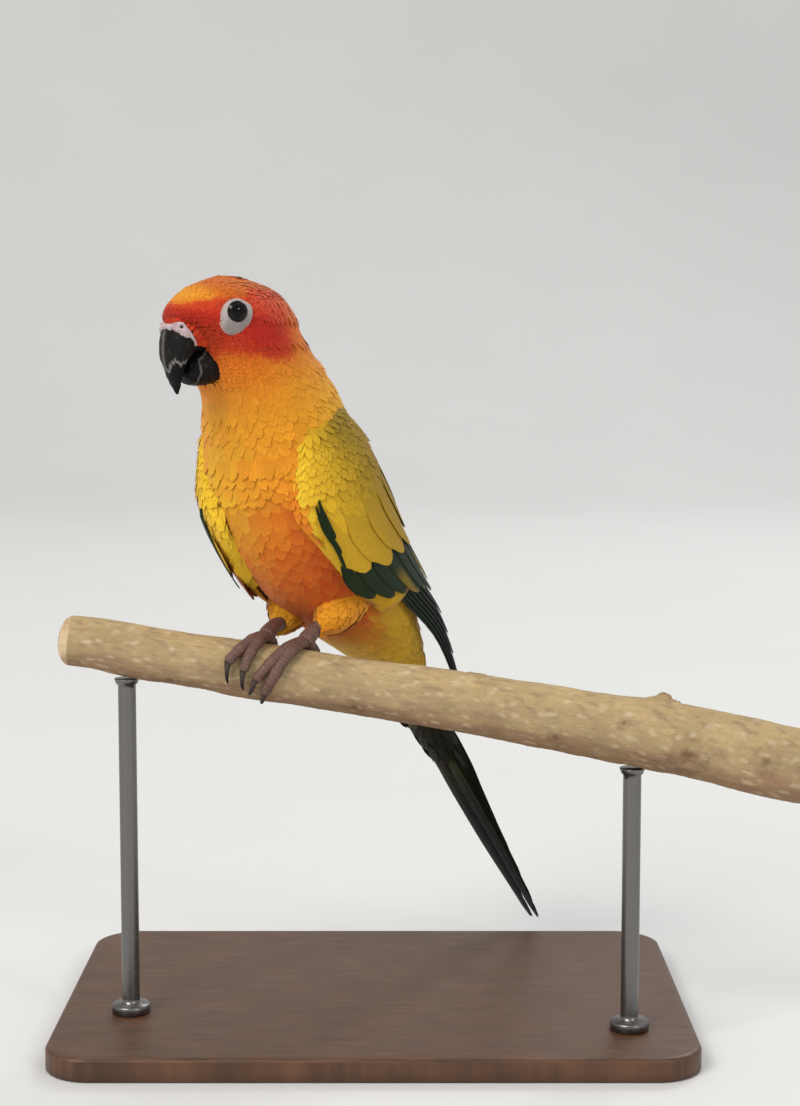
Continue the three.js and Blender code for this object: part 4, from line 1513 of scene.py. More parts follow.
@dataclass(frozen=True)
class Eye:
    """An eye: the ball, its iris and pupil, the lid and the ring of bare white skin."""

    side: Side
    ring: float = 11.1
    angle: float = 73.0
    rim: tuple[tuple[float, float], ...] = (
        (0, 5.0), (39, 4.4), (82, 4.15), (130, 4.3), (167, 5.5),
        (184, 5.3), (241, 5.95), (278, 7.4), (299, 7.9), (326, 6.8),
    )
    ball: float = 4.3
    sunk: float = 2.0
    lid_in: float = 3.15
    lid_high: float = 0.85

    def axes(self) -> tuple[Array, Array, Array, Array]:
        """The eye's middle, its way out, and its axes forward and up across the face."""
        angle = self.side.sign * math.radians(self.angle)
        at = BODY_LOFT.point(np.array(self.ring), np.array(angle))
        out = unit(from_head(0.3, self.side.sign * 0.95, 0.04) - from_head(0.0, 0.0, 0.0))
        ahead = from_head(1.0, 0.0, 0.0) - from_head(0.0, 0.0, 0.0)
        ahead = unit(ahead - out * float(ahead @ out))
        above = np.cross(out, ahead) * self.side.sign
        return at, out, ahead, above * np.sign(above[2])

    def outline(self, turn: Array) -> Array:
        """The ring's outer radius, through its measured points by angle from ahead towards above.

        Args:
            turn: angles from ahead towards above.

        Returns:
            The radii.
        """
        table = np.array(self.rim + ((360, self.rim[0][1]),), float)
        wide = np.linspace(0, 360, 73)
        even = np.interp(wide, table[:, 0], table[:, 1])
        loop = np.arange(73) % 72
        for _ in range(3):
            even = (even + np.roll(even[:-1], 1)[loop] + np.roll(even[:-1], -1)[loop]) / 3
        return np.interp(np.degrees(turn) % 360, wide, even)

    def inside(self, points: Array) -> Mask:
        """Whether points lie over the ring of bare skin."""
        at, out, ahead, above = self.axes()
        away = points - at
        x, y = away @ ahead, away @ above
        near = np.hypot(x, y) < self.outline(np.arctan2(y, x)) - 0.5
        return near & (away @ out > -6)

    def turned(self, along: Array, radius: Array, tint: Array) -> Sheet:
        """A round piece on the eye's axis, through rings of radius at along, both rings by turns.

        Args:
            along: heights along the axis.
            radius: radii, ring by place round.
            tint: their colours.

        Returns:
            The sheet.
        """
        at, out, ahead, above = self.axes()
        turn = turns(radius.shape[1])
        ring = ahead * np.cos(turn)[:, None] + above * np.sin(turn)[:, None]
        points = at + out * along[..., None] + ring[None] * radius[..., None]
        vane = np.stack([radius * np.cos(turn), radius * np.sin(turn)], -1)
        return tube_sheet(points, tint, vane)

    def eyeball(self) -> Sheet:
        """The ball, with a black pupil, a dark brown iris and a darker rim."""
        tilt = np.linspace(0.02, math.pi * 0.72, 40)[:, None]
        radius = np.broadcast_to(self.ball * np.sin(tilt), (40, 48))
        along = np.broadcast_to(self.ball * np.cos(tilt) - self.sunk, (40, 48))
        apart = radius / self.lid_in
        pupil, rim = 1 - smooth(0.62, 0.7, apart), smooth(0.82, 0.92, apart)
        tint = blend(paint(26, 17, 13), paint(5, 4, 4), pupil, paint(8, 6, 6), rim)
        return self.turned(along, radius, tint)

    def bare_ring(self) -> Sheet:
        """The bare skin: up from under the feathers, over a soft swell with fine creases, in at the lid."""
        turn = turns(72)[None]
        q = np.linspace(0, 1, 26)[:, None]
        outer = self.outline(turn)
        radius = mix(outer, self.lid_in, smooth(0, 1, q) * 0.35 + q * 0.65)
        swell = np.sin(np.clip(q * 1.05, 0, 1) * math.pi) ** 0.7 * 0.38
        creases = 0.05 * np.sin(q * 46 + 1.2 * np.sin(turn * 5)) * np.sin(q * math.pi)
        along = mix(-0.5, self.lid_high, q**1.4) + swell + creases
        back_along = np.broadcast_to(np.array([[-0.6], [-1.6], [-2.4]]), (3, 72))
        back_radius = np.array([[self.lid_in - 0.15], [self.lid_in + 0.1], [outer.mean() - 1.6]]) + 0 * turn
        along, radius = np.concatenate([along, back_along]), np.concatenate([radius, back_radius])
        white, shaded = paint(182, 172, 168), paint(138, 128, 124)
        lid, pink = paint(56, 50, 48), paint(196, 120, 108)
        rim = smooth(0.86, 0.99, radius / np.concatenate([np.broadcast_to(outer, (26, 72)), back_radius * 9]))
        tint = blend(
            white, shaded, 0.8 * smooth(0.0, 1.0, -np.sin(turn) + 0 * radius),
            lid, 1 - smooth(self.lid_in - 0.05, self.lid_in + 0.35, radius), pink, 0.5 * rim,
        )
        return self.turned(along, radius, tint)

    def build(self, gloss: Material, skin: Material) -> None:
        """Makes the ball and the ring."""
        word = self.side.word
        make_piece(f"eyeball_{word}", self.eyeball(), gloss, "eye", (f"eye_{word}",))
        make_piece(f"eye_ring_{word}", self.bare_ring(), skin, "cere_skin")


# Bill and cere


@dataclass(frozen=True)
class BillRings(Surface):
    """A mandible's rings: the culmen point ahead and up, the edge point ahead and up, and the half width."""

    rows: tuple[tuple[float, float, float, float, float], ...]

    def point(self, t: Array, angle: Array, out: Real = 0.0) -> Array:
        """An ellipse from the culmen point at angle 0 to the edge point at half a turn."""
        t, angle = paired(t, angle)
        f1, u1, f2, u2, half = np.moveaxis(spline(np.array(self.rows, float), t), -1, 0)
        f, u = (f1 - f2) / 2, (u1 - u2) / 2
        far = np.cos(angle) * (1 + out / np.maximum(np.hypot(f, u), 0.2))
        return from_head((f1 + f2) / 2 + f * far, np.sin(angle) * (half + out), (u1 + u2) / 2 + u * far)


UPPER_BILL = BillRings(
    (
        (13, 5.5, 7, -7, 7.2),
        (19.5, 4.2, 13, -7.2, 7.3),
        (22, -1, 15.3, -8.8, 6.7),
        (22.6, -7, 16.6, -11.2, 5.6),
        (21.6, -12.6, 17.4, -13.9, 4),
        (20.1, -16.8, 17.6, -16.8, 2.2),
        (18.6, -19.8, 17.9, -19.5, 0.5),
    )
)
LOWER_BILL = BillRings(
    (
        (4, -5.5, 2, -15.4, 6.6),
        (9.0, -4.6, 6, -16.5, 6.9),
        (13.2, -6.0, 8.8, -17.1, 6.5),
        (16.0, -8.8, 11.8, -17.2, 5.8),
        (17.0, -12.2, 14.4, -16.8, 4.0),
    )
)


@dataclass(frozen=True)
class Bill:
    """The hooked bill, its flaking pale edges, and the cere with its nostrils."""

    cere_from: float = 1.16
    cere_to: float = 1.76
    dip: float = 0.36
    spread: float = 116.0
    nostril: float = 0.72
    nostril_at: tuple[float, float] = (1.42, 46.0)
    ledge: tuple[tuple[float, float], ...] = (
        (0, 3.95), (10, 3.9), (45, 3.3), (85, 3.3), (112, 2.8), (120, 2.1), (150, 1.5), (165, 1.0), (180, 0.9)
    )

    def upper(self) -> Sheet:
        """The upper mandible: an outer layer broken off along a ledge, and the thinner hook below it."""
        t, angle = crossed(np.linspace(0, 6, 130), turns(96))
        flat = bar(t * 2.2, angle, 4)
        degrees = np.degrees(np.minimum(angle, TAU - angle))
        chips = ripple(flat, 1.5, 5)
        ledge = np.interp(degrees, *np.array(self.ledge, float).T) + 0.1 * chips + 0.07 * ripple(flat, 0.7, 9)
        past = smooth(-0.05, 0.05, t - ledge)
        steps = 0.05 * np.sin(t * 9 + 1.5 * np.cos(angle)) * smooth(1.5, 2.5, t)
        out = steps + 0.1 * ripple(flat, 2.6, 4) + 0.42 * (1 - past) * smooth(1.2, 1.9, t)
        points = UPPER_BILL.point(t, angle, out * smooth(0, 0.4, 6 - t))
        ridge = bell(np.degrees(wrapped(angle)) + 3 * chips, -9.0, 7.0)
        ridge = ridge * smooth(1.7, 2.0, t) * (1 - smooth(3.6, 4.1, t))
        line = bell(t - ledge, 0.02, 0.11) * smooth(-0.9, -0.1, chips) * smooth(1.6, 2.4, t)
        dust = smooth(0.6, 1.0, ripple(flat, 1.3, 8)) * smooth(1.2, 2.2, t)
        tint = blend(
            paint(19, 17, 15), paint(9, 9, 10), past, paint(112, 110, 102), ridge * 0.7,
            paint(138, 134, 132), 0.85 * line, paint(62, 59, 57), 0.4 * dust,
        )
        return tube_sheet(points, tint, np.stack([angle * 4, t * 4], -1))

    def lower(self) -> Sheet:
        """The lower mandible, with a pale rim in front and low growth steps."""
        t, angle = crossed(np.linspace(0, 4, 56), turns(60))
        flat = bar(t * 2.2, angle, 4)
        out = 0.07 * np.sin(t * 10 + np.cos(angle)) + 0.1 * ripple(flat, 2.4, 14)
        points = LOWER_BILL.point(t, angle, out * smooth(0, 0.4, 4 - t))
        forward, _, up = to_head(points)
        past = forward - 13.4 + 3.0 * smooth(-9.5, -6.0, up) - 0.25 * ripple(flat, 2.0, 17)
        rim = bell(past, 0.0, 0.3) * smooth(-1.2, -0.2, ripple(flat, 1.6, 15))
        tint = blend(
            paint(16, 15, 12), paint(6, 6, 7), smooth(-0.1, 0.3, past), paint(104, 102, 96), rim * 0.75,
            paint(60, 58, 55), 0.4 * smooth(0.5, 0.9, ripple(flat, 1.4, 16)),
        )
        return tube_sheet(points, tint, np.stack([angle * 4, t * 4], -1))

    def cere(self) -> Sheet:
        """The cere: a swollen saddle over the bill's root, with a rim round each open nostril."""
        degrees = np.linspace(-self.spread, self.spread, 90)
        t, angle = crossed(np.linspace(self.cere_from, self.cere_to, 40), np.radians(degrees))
        aside = np.abs(np.degrees(angle))
        q = (t - self.cere_from) / (self.cere_to - self.cere_from)
        t = t + (1 - q) * self.dip * (1 - smooth(6, 42, aside))
        t = t + 0.07 * q * ripple(np.stack([angle * 6, angle * 0], -1), 2.6, 26)
        t = t - 0.42 * q * smooth(58, 100, aside)
        swell = 0.5 + 0.6 * np.sin(np.clip(q * 1.15, 0, 1) * math.pi) ** 0.6 * (1 - smooth(64, 104, aside))
        flat = np.stack([t * 9, angle * 6], -1)
        swell = swell + 0.1 * ripple(flat, 1.6, 24)
        place = UPPER_BILL.point(t, angle, 0.6)
        dark = np.zeros(t.shape)
        for side in Side:
            ring, turn = self.nostril_at
            hole = UPPER_BILL.point(np.array(ring), np.radians(side.sign * turn), 0.6)
            far = np.linalg.norm(place - hole, axis=-1)
            near = far / self.nostril
            swell = swell + 0.4 * bell(far, self.nostril * 1.45, 0.55) - 1.5 * (1 - smooth(0.35, 1.0, near))
            # painted shade: this mask paints the nostrils' pits near black
            dark = np.maximum(dark, 1 - smooth(0.5, 1.0, near))
        top = UPPER_BILL.point(t, angle, swell)
        bottom = UPPER_BILL.point(t, angle, -0.9)
        tint = blend(
            paint(206, 196, 198), paint(182, 140, 138), 0.45 + 0.5 * ripple(flat, 3.0, 25),
            paint(30, 18, 16), dark,
            paint(104, 98, 98), 0.7 * smooth(0.8, 1.0, q + 0.1 * ripple(flat, 1.2, 27)),
        )
        vane = np.stack([angle * 6, t * 6], -1)
        return plate_sheets(top[None], bottom[None], tint[None], vane[None], (vane / 40 + 0.5)[None])

    def frontal(self) -> Sheet:
        """The fine red feathers that come down over the bill's root to the cere and lie away from it."""
        p, q = scattered(UPPER_BILL, np.linspace(1.24, 0.1, 15), (-2.1, 2.1), 0.62, 91)
        q = np.clip(q, -2.1, 2.1)
        p = p * (1 + self.dip / self.cere_from * (1 - smooth(6, 42, np.abs(np.degrees(q)))))
        way = lambda points: UPPER_BILL.point(p - 0.2, q) - UPPER_BILL.point(p, q)
        seats = seats_on(UPPER_BILL, p, q, way, 0.16, 92)
        base = blend(Hue.RED, Hue.FLAME, 0.5 + 0.5 * ripple(seats.at, 2.5, 93))
        tint = varied(base, 0.06, 94)
        patch = np.stack([0.5 + q * 0.22, 0.02 + 0.7 * p / 1.3], -1)
        width = np.interp(p, (0.1, 1.24), (1.7, 1.25))
        plume = Plume(rows=5, cols=5, camber=0.06)
        return plume.lay(seats, width * LENGTH_TO_WIDTH, width, (0.1, 0.75), tint, tint, patch, 95)

    def build(self, horn: Material, skin: Material, feather: Material) -> None:
        """Makes both mandibles, the cere and the feathers over it."""
        make_piece("coat_front", self.frontal(), feather, "feathers_head")
        make_piece("upper_mandible", self.upper(), horn, "bill_horn", ("bill_upper",))
        make_piece("lower_mandible", self.lower(), horn, "bill_horn", ("bill_lower",))
        make_piece("cere_skin", self.cere(), skin, "cere_skin", ("cere",))


# Wings


@dataclass(frozen=True)
class Tier:
    """A row of large wing feathers: roots, heights, tips along the span, and width over spacing."""

    count: int
    start: float
    level: float
    tips: Vector
    wide: float
    reach: tuple[float, float] = (0.0, 1.0)


@dataclass(frozen=True)
class Wing:
    """A folded wing: small coverts over its pad, tiers of coverts, secondaries and primaries."""

    side: Side
    quill: Quill = Quill()
    greater: Tier = Tier(7, 25, -0.95, (47, 60, 57), 1.5, (0.075, 1.0))
    secondary: Tier = Tier(11, 40, -1.95, (59, 85, 82), 1.5, (0.03, 0.98))
    slope: float = 0.1
    soft: float = 0.55

    def laid(
        self, start: Array, tip: Array, near: Array, far: Array, wide: Array,
        level: Array, sunk: Array, tint: Tinting, seed: int,
    ) -> Sheet:
        """Large feathers on the wing.

        A point lies at start + (tip - start) u from the shoulder, near + (far - near) u across the
        span and half the width times v round it. Its height is the level, sloping down from the
        front edge, lower towards both edges, with a ridge for the shaft.

        Args:
            start: the roots' distances from the shoulder.
            tip: the tips' distances.
            near: the roots' shares across the span.
            far: the tips' shares.
            wide: the widths.
            level: the tips' heights.
            sunk: the roots' heights.
            tint: colours from feather numbers and the shares along and across.
            seed: of the random draw.

        Returns:
            The sheet.
        """
        surface = WingSurface(self.side)
        count = len(start)
        along, across, thin = self.quill.shares(count, wide, tip - start, seed)
        shift = each(wide) / 2 * across
        at = mix(each(start), each(tip), along)
        share = mix(each(near), each(far), along)
        height = mix(each(sunk), each(level), smooth(0, 0.3, along)) - self.slope * shift - 0.3 * thin
        top = surface.place(at, share, shift, height + self.quill.ridge(along))
        bottom = surface.place(at, share, shift, height - self.quill.depth(thin))
        colour = tint(each(range(count)) + 0 * along, along, across)
        lifted = surface.place(at, share, shift, height + 1)
        pull = unit(lifted - surface.place(at, share, shift, height)) * self.soft
        vane = np.stack([shift, at - each(start)], -1)
        return plate_sheets(top, bottom, colour, vane, atlas(count, along, across), pull)

    def tier(self, tier: Tier, tint: Tinting, seed: int) -> Sheet:
        """One tier, its tips between three set along the span and staggered by turns.

        Args:
            tier: the row's numbers.
            tint: colours, as laid takes them.
            seed: of the random draw.

        Returns:
            The sheet.
        """
        v = mix(*tier.reach, (np.arange(tier.count) + 0.5) / tier.count)
        tip = np.interp(v, (0, 0.5, 1), tier.tips) + 1.2 * (np.arange(tier.count) % 2)
        wide = WingSurface(self.side).span(mix(tier.start, tip, 0.6)) / tier.count * tier.wide
        start = np.full(tier.count, tier.start)
        level = np.full(tier.count, tier.level)
        return self.laid(start, tip, v, v, wide, level, level - 0.2, tint, seed)

    def covert_tint(self, number: Array, along: Array, across: Array) -> Array:
        """Coverts: bright yellow in front, darkening to golden olive behind as painted shade, with paler
        edges.

        Args:
            number: feather numbers, counted from the front.
            along: shares along each feather; not used.
            across: shares of its half width.

        Returns:
            Linear colours.
        """
        # painted shade: the coverts darken from yellow to golden olive towards the back of the wing
        share = np.interp(number + 0.5 * across, (0, 4), (0.3, 1.0))
        pale = 0.15 * smooth(0.65, 1.0, np.abs(across))
        return blend(Hue.YELLOW, Hue.OLIVE_GOLD, 0.95 * share, Hue.LEMON, pale)

    def secondary_tint(self, number: Array, along: Array, across: Array) -> Array:
        """Secondaries: dark green, two with a golden outer edge, the last ones olive; on the right the front
        ones are painted orange-brown as painted shade, with olive tips.

        Args:
            number: feather numbers, counted from the front.
            along: shares along each feather.
            across: shares of its half width.

        Returns:
            Linear colours.
        """
        edged = (number == 3) | (number == 6)
        rim = smooth(-0.1, 0.3, -across) * edged * smooth(0.5, 0.75, along) + 0.5 * smooth(0.96, 1.0, along)
        late = mix(Hue.OLIVE_GOLD.rgb, Hue.OLIVE.rgb, 0.4)
        colour = blend(Hue.GREEN, Hue.OLIVE_GOLD, 0.85 * rim, late, 0.9 * smooth(7.5, 8.5, number))
        if self.side is Side.LEFT:
            return colour
        # painted shade: the right wing's front secondaries turn orange-brown, with olive tips
        near = 1 - smooth(3.5, 5.5, number)
        brown = mix(Hue.ORANGE.rgb, Hue.BROWN.rgb, 0.6)
        return blend(colour, brown, near, Hue.OLIVE, 0.7 * near * smooth(0.85, 1.0, along))

    def primary_tint(self, number: Array, along: Array, across: Array) -> Array:
        """Primaries: near black, with a green outer web towards the root."""
        web = (1 - smooth(0.3, 0.8, along)) * smooth(-0.2, 0.5, -across)
        return blend(Hue.NIGHT, Hue.GREEN, 0.7 * web)

    def primaries(self) -> Sheet:
        """Seven primaries, each longer and lower than the last; further from the front edge on the right."""
        q = np.linspace(0, 1, 7)
        flat = np.ones(7)
        aside = 0.0 if self.side is Side.LEFT else 0.14
        near, far = mix(0.42, 0.2, q) + 2 * aside, mix(0.54, 0.46, q) + aside * (1 - q)
        level = -3.2 - 0.5 * np.arange(7)
        tips = mix(100.0, 157.0, q)
        return self.laid(52 * flat, tips, near, far, 7.6 * flat, level, -4.4 * flat, self.primary_tint, 131)

    def streak(self) -> Sheet:
        """The green primary coverts: a dark wedge behind the yellow front edge, narrowing downwards."""
        tint = lambda number, along, across: blend(
            Hue.GREEN, Hue.OLIVE, 0.4 * smooth(0.6, 1, np.abs(across))
        )
        level = np.array([0.15, 0.2, 0.25]) - (0.0 if self.side is Side.LEFT else 0.4)
        start, tip, near, far, wide = np.array([
            (19.0, 20.0, 25.0), (32.0, 38.0, 50.0), (0.155, 0.13, 0.12), (0.115, 0.08, 0.025), (2.3, 2.0, 1.2)
        ])
        return self.laid(start, tip, near, far, wide, level, level - 0.9, tint, 141)

    def small_coverts(self) -> Sheet:
        """The lesser coverts, in close rows from the shoulder over the bend of the wing."""
        surface = WingSurface(self.side)
        size = lambda p, q: np.interp(p, (-4, 8, 22, 36), (2.8, 3.4, 5.0, 6.6))
        rows = np.linspace(-3, 50, 32)
        p, q = scattered(surface, rows, (0.004, 0.996), lambda a, b: (size(a, b) * 0.54) ** 2, 101)
        kept = (p < 36) | (q < 0.07) & (p < 47)
        p, q = p[kept], np.clip(q[kept], 0.006, 0.994)
        way = lambda points: surface.place(p + 1, q, 0.0, 0.0) - surface.place(p, q, 0.0, 0.0)
        seats = seats_on(surface, p, q, way, 0.07, 102)
        # painted shade: golden olive and then brown towards the wing's back edge
        base = blend(
            Hue.YELLOW, Hue.OLIVE_GOLD, 0.95 * smooth(0.1, 0.65, q),
            Hue.LEMON, 0.8 * (1 - smooth(0.04, 0.2, q)), Hue.BROWN, 0.5 * smooth(0.86, 1.0, q),
        )
        if self.side is Side.LEFT:
            edge = np.interp(p, (6, 12, 16, 24, 34), (-0.04, 0.04, 0.075, 0.06, 0.0))
            base = blend(base, mix(Hue.ORANGE.rgb, Hue.AMBER.rgb, 0.3), 1 - smooth(edge - 0.02, edge, q))
        tint = varied(base, 0.035, 103)
        tip = mix(tint, Hue.LEMON.rgb, 0.12)
        patch = np.stack([0.01 + 0.98 * q, 0.02 + 0.9 * np.clip((p + 6) / 70, 0, 1)], -1)
        width = size(p, q)
        plume = Plume(camber=0.05, soft=0.85)
        return plume.lay(seats, width * 1.7, width, (-0.8, 0.05), tint, tip, patch, 104)

    def build(self, feather: Material, quill: Material) -> None:
        """Makes the wing's coverts and quills."""
        word = self.side.word
        coverts = self.tier(self.greater, self.covert_tint, 112)
        make_piece(f"wing_{word}_coverts", coverts, feather, "feathers_wing")
        make_piece(f"wing_{word}_small_coverts", self.small_coverts(), feather, "feathers_wing")
        make_piece(f"wing_{word}_streak", self.streak(), feather, "feathers_wing")
        quills = joined([self.tier(self.secondary, self.secondary_tint, 121), self.primaries()])
        make_piece(f"wing_{word}_quills", quills, quill, "feathers_wing", (f"wing_{word}",))


# Tail


@dataclass(frozen=True)
class Tail:
    """The long graduated tail, with its upper and under coverts."""

    quill: Quill = Quill(rows=25, cols=9, round=0.3)
    lengths: tuple[float, ...] = (132, 124, 112, 99, 86, 73)
    root: float = 12.0
    apart: float = 2.75
    step: float = 0.62
    wide: float = 5.4
    top: float = 2.3
    drop: float = 0.87

    def feathers(self) -> Sheet:
        """Twelve tail feathers: each pair lies lower, further out and shorter than the last."""
        pairs = len(self.lengths)
        k = np.repeat(np.arange(pairs), 2)
        sign = np.tile([1.0, -1.0], pairs)
        length = np.array(self.lengths, float)[k]
        wide = np.full(len(k), self.wide)
        along, across, thin = self.quill.shares(len(k), wide, length - self.root, 151)
        far = mix(self.root, each(length), along)
        inner = (self.apart + self.step * each(k)) * mix(1, 0.55, along**2)
        aside = inner + across * self.wide / 2 * (1 - 0.35 * smooth(0.6, 1.0, along))
        left = each(sign) * np.maximum(aside, 0.12)
        level = self.top - self.drop * each(k) - 0.12 * thin + 0 * along
        top = TAIL_AXES.point(far, left, level + self.quill.ridge(along))
        bottom = TAIL_AXES.point(far, left, level - self.quill.depth(thin))
        shaded, edge = 0.7 * (1 - smooth(0.15, 0.5, along)), 0.5 * smooth(0.5, 1.0, across)
        colour = blend(Hue.NIGHT, Hue.OLIVE, shaded, Hue.GREEN, edge)
        vane = np.stack([across * self.wide / 2, far], -1)
        above = TAIL_AXES.point(0.0, 0.0, 1.0) - TAIL_AXES.point(0.0, 0.0, 0.0)
        pull = np.broadcast_to(above * 0.35, top.shape)
        return plate_sheets(top, bottom, colour, vane, atlas(len(k), along, across), pull)

    def coverts(self) -> Sheet:
        """Upper and under coverts: yellow, long, over the tail's fleshy root."""
        surface = TailRump()
        p, q = scattered(surface, np.linspace(-5, 34, 12), (0, TAU), 12.0, 161)
        back = TAIL_AXES.point(1.0, 0.0, 0.0) - TAIL_AXES.point(0.0, 0.0, 0.0)
        seats = seats_on(surface, p, q, lambda points: np.broadcast_to(back, points.shape), 0.07, 162)
        base = blend(
            Hue.OLIVE_GOLD, Hue.GOLD, smooth(-0.2, 0.5, -np.sin(q)),
            Hue.OLIVE, 0.6 * smooth(2, 10, p), Hue.NIGHT, 0.95 * smooth(9, 17, p),
        )
        # painted shade: the roots darker than the tips, where the feathers overlap
        tint = varied(base * 0.7, 0.07, 163)
        tip = blend(base, Hue.GOLD, 0.35 * (1 - smooth(4, 10, p)))
        patch = np.stack([0.01 + 0.98 * (q % TAU) / TAU, 0.02 + 0.9 * np.clip((p + 6) / 50, 0, 1)], -1)
        length = np.interp(p, (-5, 34), (11.0, 15.0))
        return Plume(rows=9, camber=0.06).lay(seats, length, 5.6, (-1.0, 0.3), tint, tip, patch, 164)

    def build(self, feather: Material, quill: Material) -> None:
        """Makes the tail."""
        make_piece("tail_quills", self.feathers(), quill, "feathers_tail", ("tail",))
        make_piece("tail_coverts", self.coverts(), feather, "feathers_tail")


# Branch


@dataclass(frozen=True)
class Knot:
    """A knot in the branch: where it is, how wide and high, and whether its middle is sunk."""

    x: float
    angle: float
    wide: float
    high: float
    pit: float


@dataclass(frozen=True)
class Branch(Surface):
    """The cut branch: p along its x from the grip in millimetres, q round it from the top to the front."""

    axis: tuple[tuple[float, float, float, float], ...] = (
        (-69, 5, 9.8, 8.4), (-45, 4, 6.1, 8.9), (-20, 2, 2.4, 9.1), (13, -1, -2.4, 9.4),
        (50, -5, -7.4, 9.8), (95, -10, -14.2, 10.6), (138, -16, -20.6, 11.7), (178, -20, -28.2, 12.4),
    )
    knots: tuple[Knot, ...] = (
        Knot(-33, 134, 2.2, 0.4, 0.5), Knot(28.5, 126, 2.4, 0.5, 0.6), Knot(65.5, 4, 2.6, 0.9, 0.5),
        Knot(94, 116, 2.0, 0.4, 0.6), Knot(115, 68, 1.3, 0.2, 0.8), Knot(126, -9, 2.6, 3.0, 0.3),
        Knot(136.5, 104, 4.6, 1.0, 1.8), Knot(160, 84, 3.0, 0.7, 0.3),
    )

    def along(self, x: Array) -> Array:
        """The axis's x, y, z and radius at x, by the spline through its points."""
        table = np.array(self.axis, float)
        t = np.interp(x, table[:, 0], np.arange(len(table)))
        found = spline(table, t)
        found[..., 0] = x
        return found

    def point(self, p: Array, q: Array, out: Real = 0.0) -> Array:
        """middle + (top cos q + front sin q) (radius + out)."""
        p, q = paired(p, q)
        here = self.along(p)
        way = unit(self.along(p + 1)[..., :3] - self.along(p - 1)[..., :3])
        top = unit(UP - way * way[..., 2:])
        front = np.cross(way, top) * -1
        front = front * np.sign(-front[..., 1:2])
        radius = (here[..., 3] + out)[..., None]
        return here[..., :3] + GRIP + (top * np.cos(q)[..., None] + front * np.sin(q)[..., None]) * radius

    def above(self, path: Array, x: Array) -> Array:
        """From the branch's middle line at each x to the points of a path."""
        return path - self.point(x, np.zeros(len(x)), -self.along(x)[..., 3])

    def relief(self, x: Array, angle: Array) -> tuple[Array, Array]:
        """The wood's height over the plain branch, and how dark its knots are.

        Args:
            x: millimetres from the grip.
            angle: angles from the top.

        Returns:
            The heights, and shares of darkness.
        """
        place = bar(x / 2.2, angle, 9)
        height = 0.42 * ripple(place, 16, 31) + 0.16 * ripple(place * [0.6, 1, 1], 4.5, 32)
        height = height + 0.07 * ripple(place * [1.4, 1, 1], 2.0, 34)
        dark = np.zeros(x.shape)
        for knot in self.knots:
            aside = wrapped(angle - math.radians(knot.angle)) * 9.5
            ragged = 1 + 0.3 * ripple(np.stack([x, aside], -1), 3.0, 35)
            far = np.hypot(x - knot.x, aside * 1.15) / knot.wide * ragged
            height = height + knot.high * bell(far, 0.0, 1.1) - knot.pit * bell(far, 0.0, 0.5)
            dark = np.maximum(dark, 0.75 * bell(far, 0.0, 0.6) + 0.25 * bell(far, 1.2, 0.3))
        return height, dark

    def sheet(self) -> Sheet:
        """The branch with its knots, and cut ends dished a little and rounded at the rim."""
        first, last = self.axis[0][0] + 0.8, self.axis[-1][0] - 0.6
        x, angle = crossed(np.linspace(first, last, 420), turns(110))
        height, dark = self.relief(x, angle)
        points = self.point(x, angle, height)
        pale, warm, rose = paint(168, 146, 108), paint(180, 156, 114), paint(146, 110, 88)
        stain, silver, knot = paint(154, 128, 100), paint(204, 186, 154), paint(84, 56, 40)
        place = bar(x / 3, angle, 9)
        tint = blend(
            pale, warm, smooth(0.1, 0.9, np.cos(angle) + 0.4 * ripple(place, 9, 36)),
            rose, smooth(-0.1, 0.9, -np.cos(angle) + 0.5 * ripple(place, 7, 33)) * 0.7,
            stain, 0.7 * smooth(0.35, 0.8, ripple(place, 3.0, 37)),
            silver, 0.5 * smooth(0.45, 0.9, ripple(place, 2.2, 38)), knot, 0.85 * dark,
        )
        q = np.array([0.99, 0.96, 0.89, 0.78, 0.6, 0.4, 0.2, 0.03])
        caps, flats = [], []
        for row, sign, dome in ((0, -1, 4.6), (-1, 1, 1.0)):
            rim = points[row]
            middle = rim.mean(0)
            spoke = (rim - middle) * q[:, None, None]
            bulge = np.sqrt(1 - q**2)[:, None, None] * dome * sign
            caps.append(middle + spoke + bulge * np.array([1.0, 0, 0]))
            flats.append(spoke[..., 1:])
        grid = np.concatenate([caps[0][::-1], points, caps[1]])
        rings = (0.5 + 0.5 * np.sin(q * 22))[:, None] * (0.6 + 0.4 * np.sin(angle[:1] * 3))
        cut = blend(np.broadcast_to(paint(212, 190, 154), (len(q), 110, 3)), paint(176, 148, 114), rings)
        tints = np.concatenate([cut[::-1], tint, cut])
        vane = np.stack([x, angle * 9.5], -1)
        vane = np.concatenate([flats[0][::-1], vane, flats[1]])
        return tube_sheet(grid, tints, vane)

    def build(self, wood: Material) -> None:
        """Makes the branch."""
        make_piece("branch_wood", self.sheet(), wood, "branch_wood", ("branch",))


BRANCH = Branch()


# Feet


@dataclass(frozen=True)
class Toe:
    """A toe: its end along and round the branch, its claw's turn and its claw's drift along it."""

    name: str
    x: float
    angle: float
    claw: float
    away: float


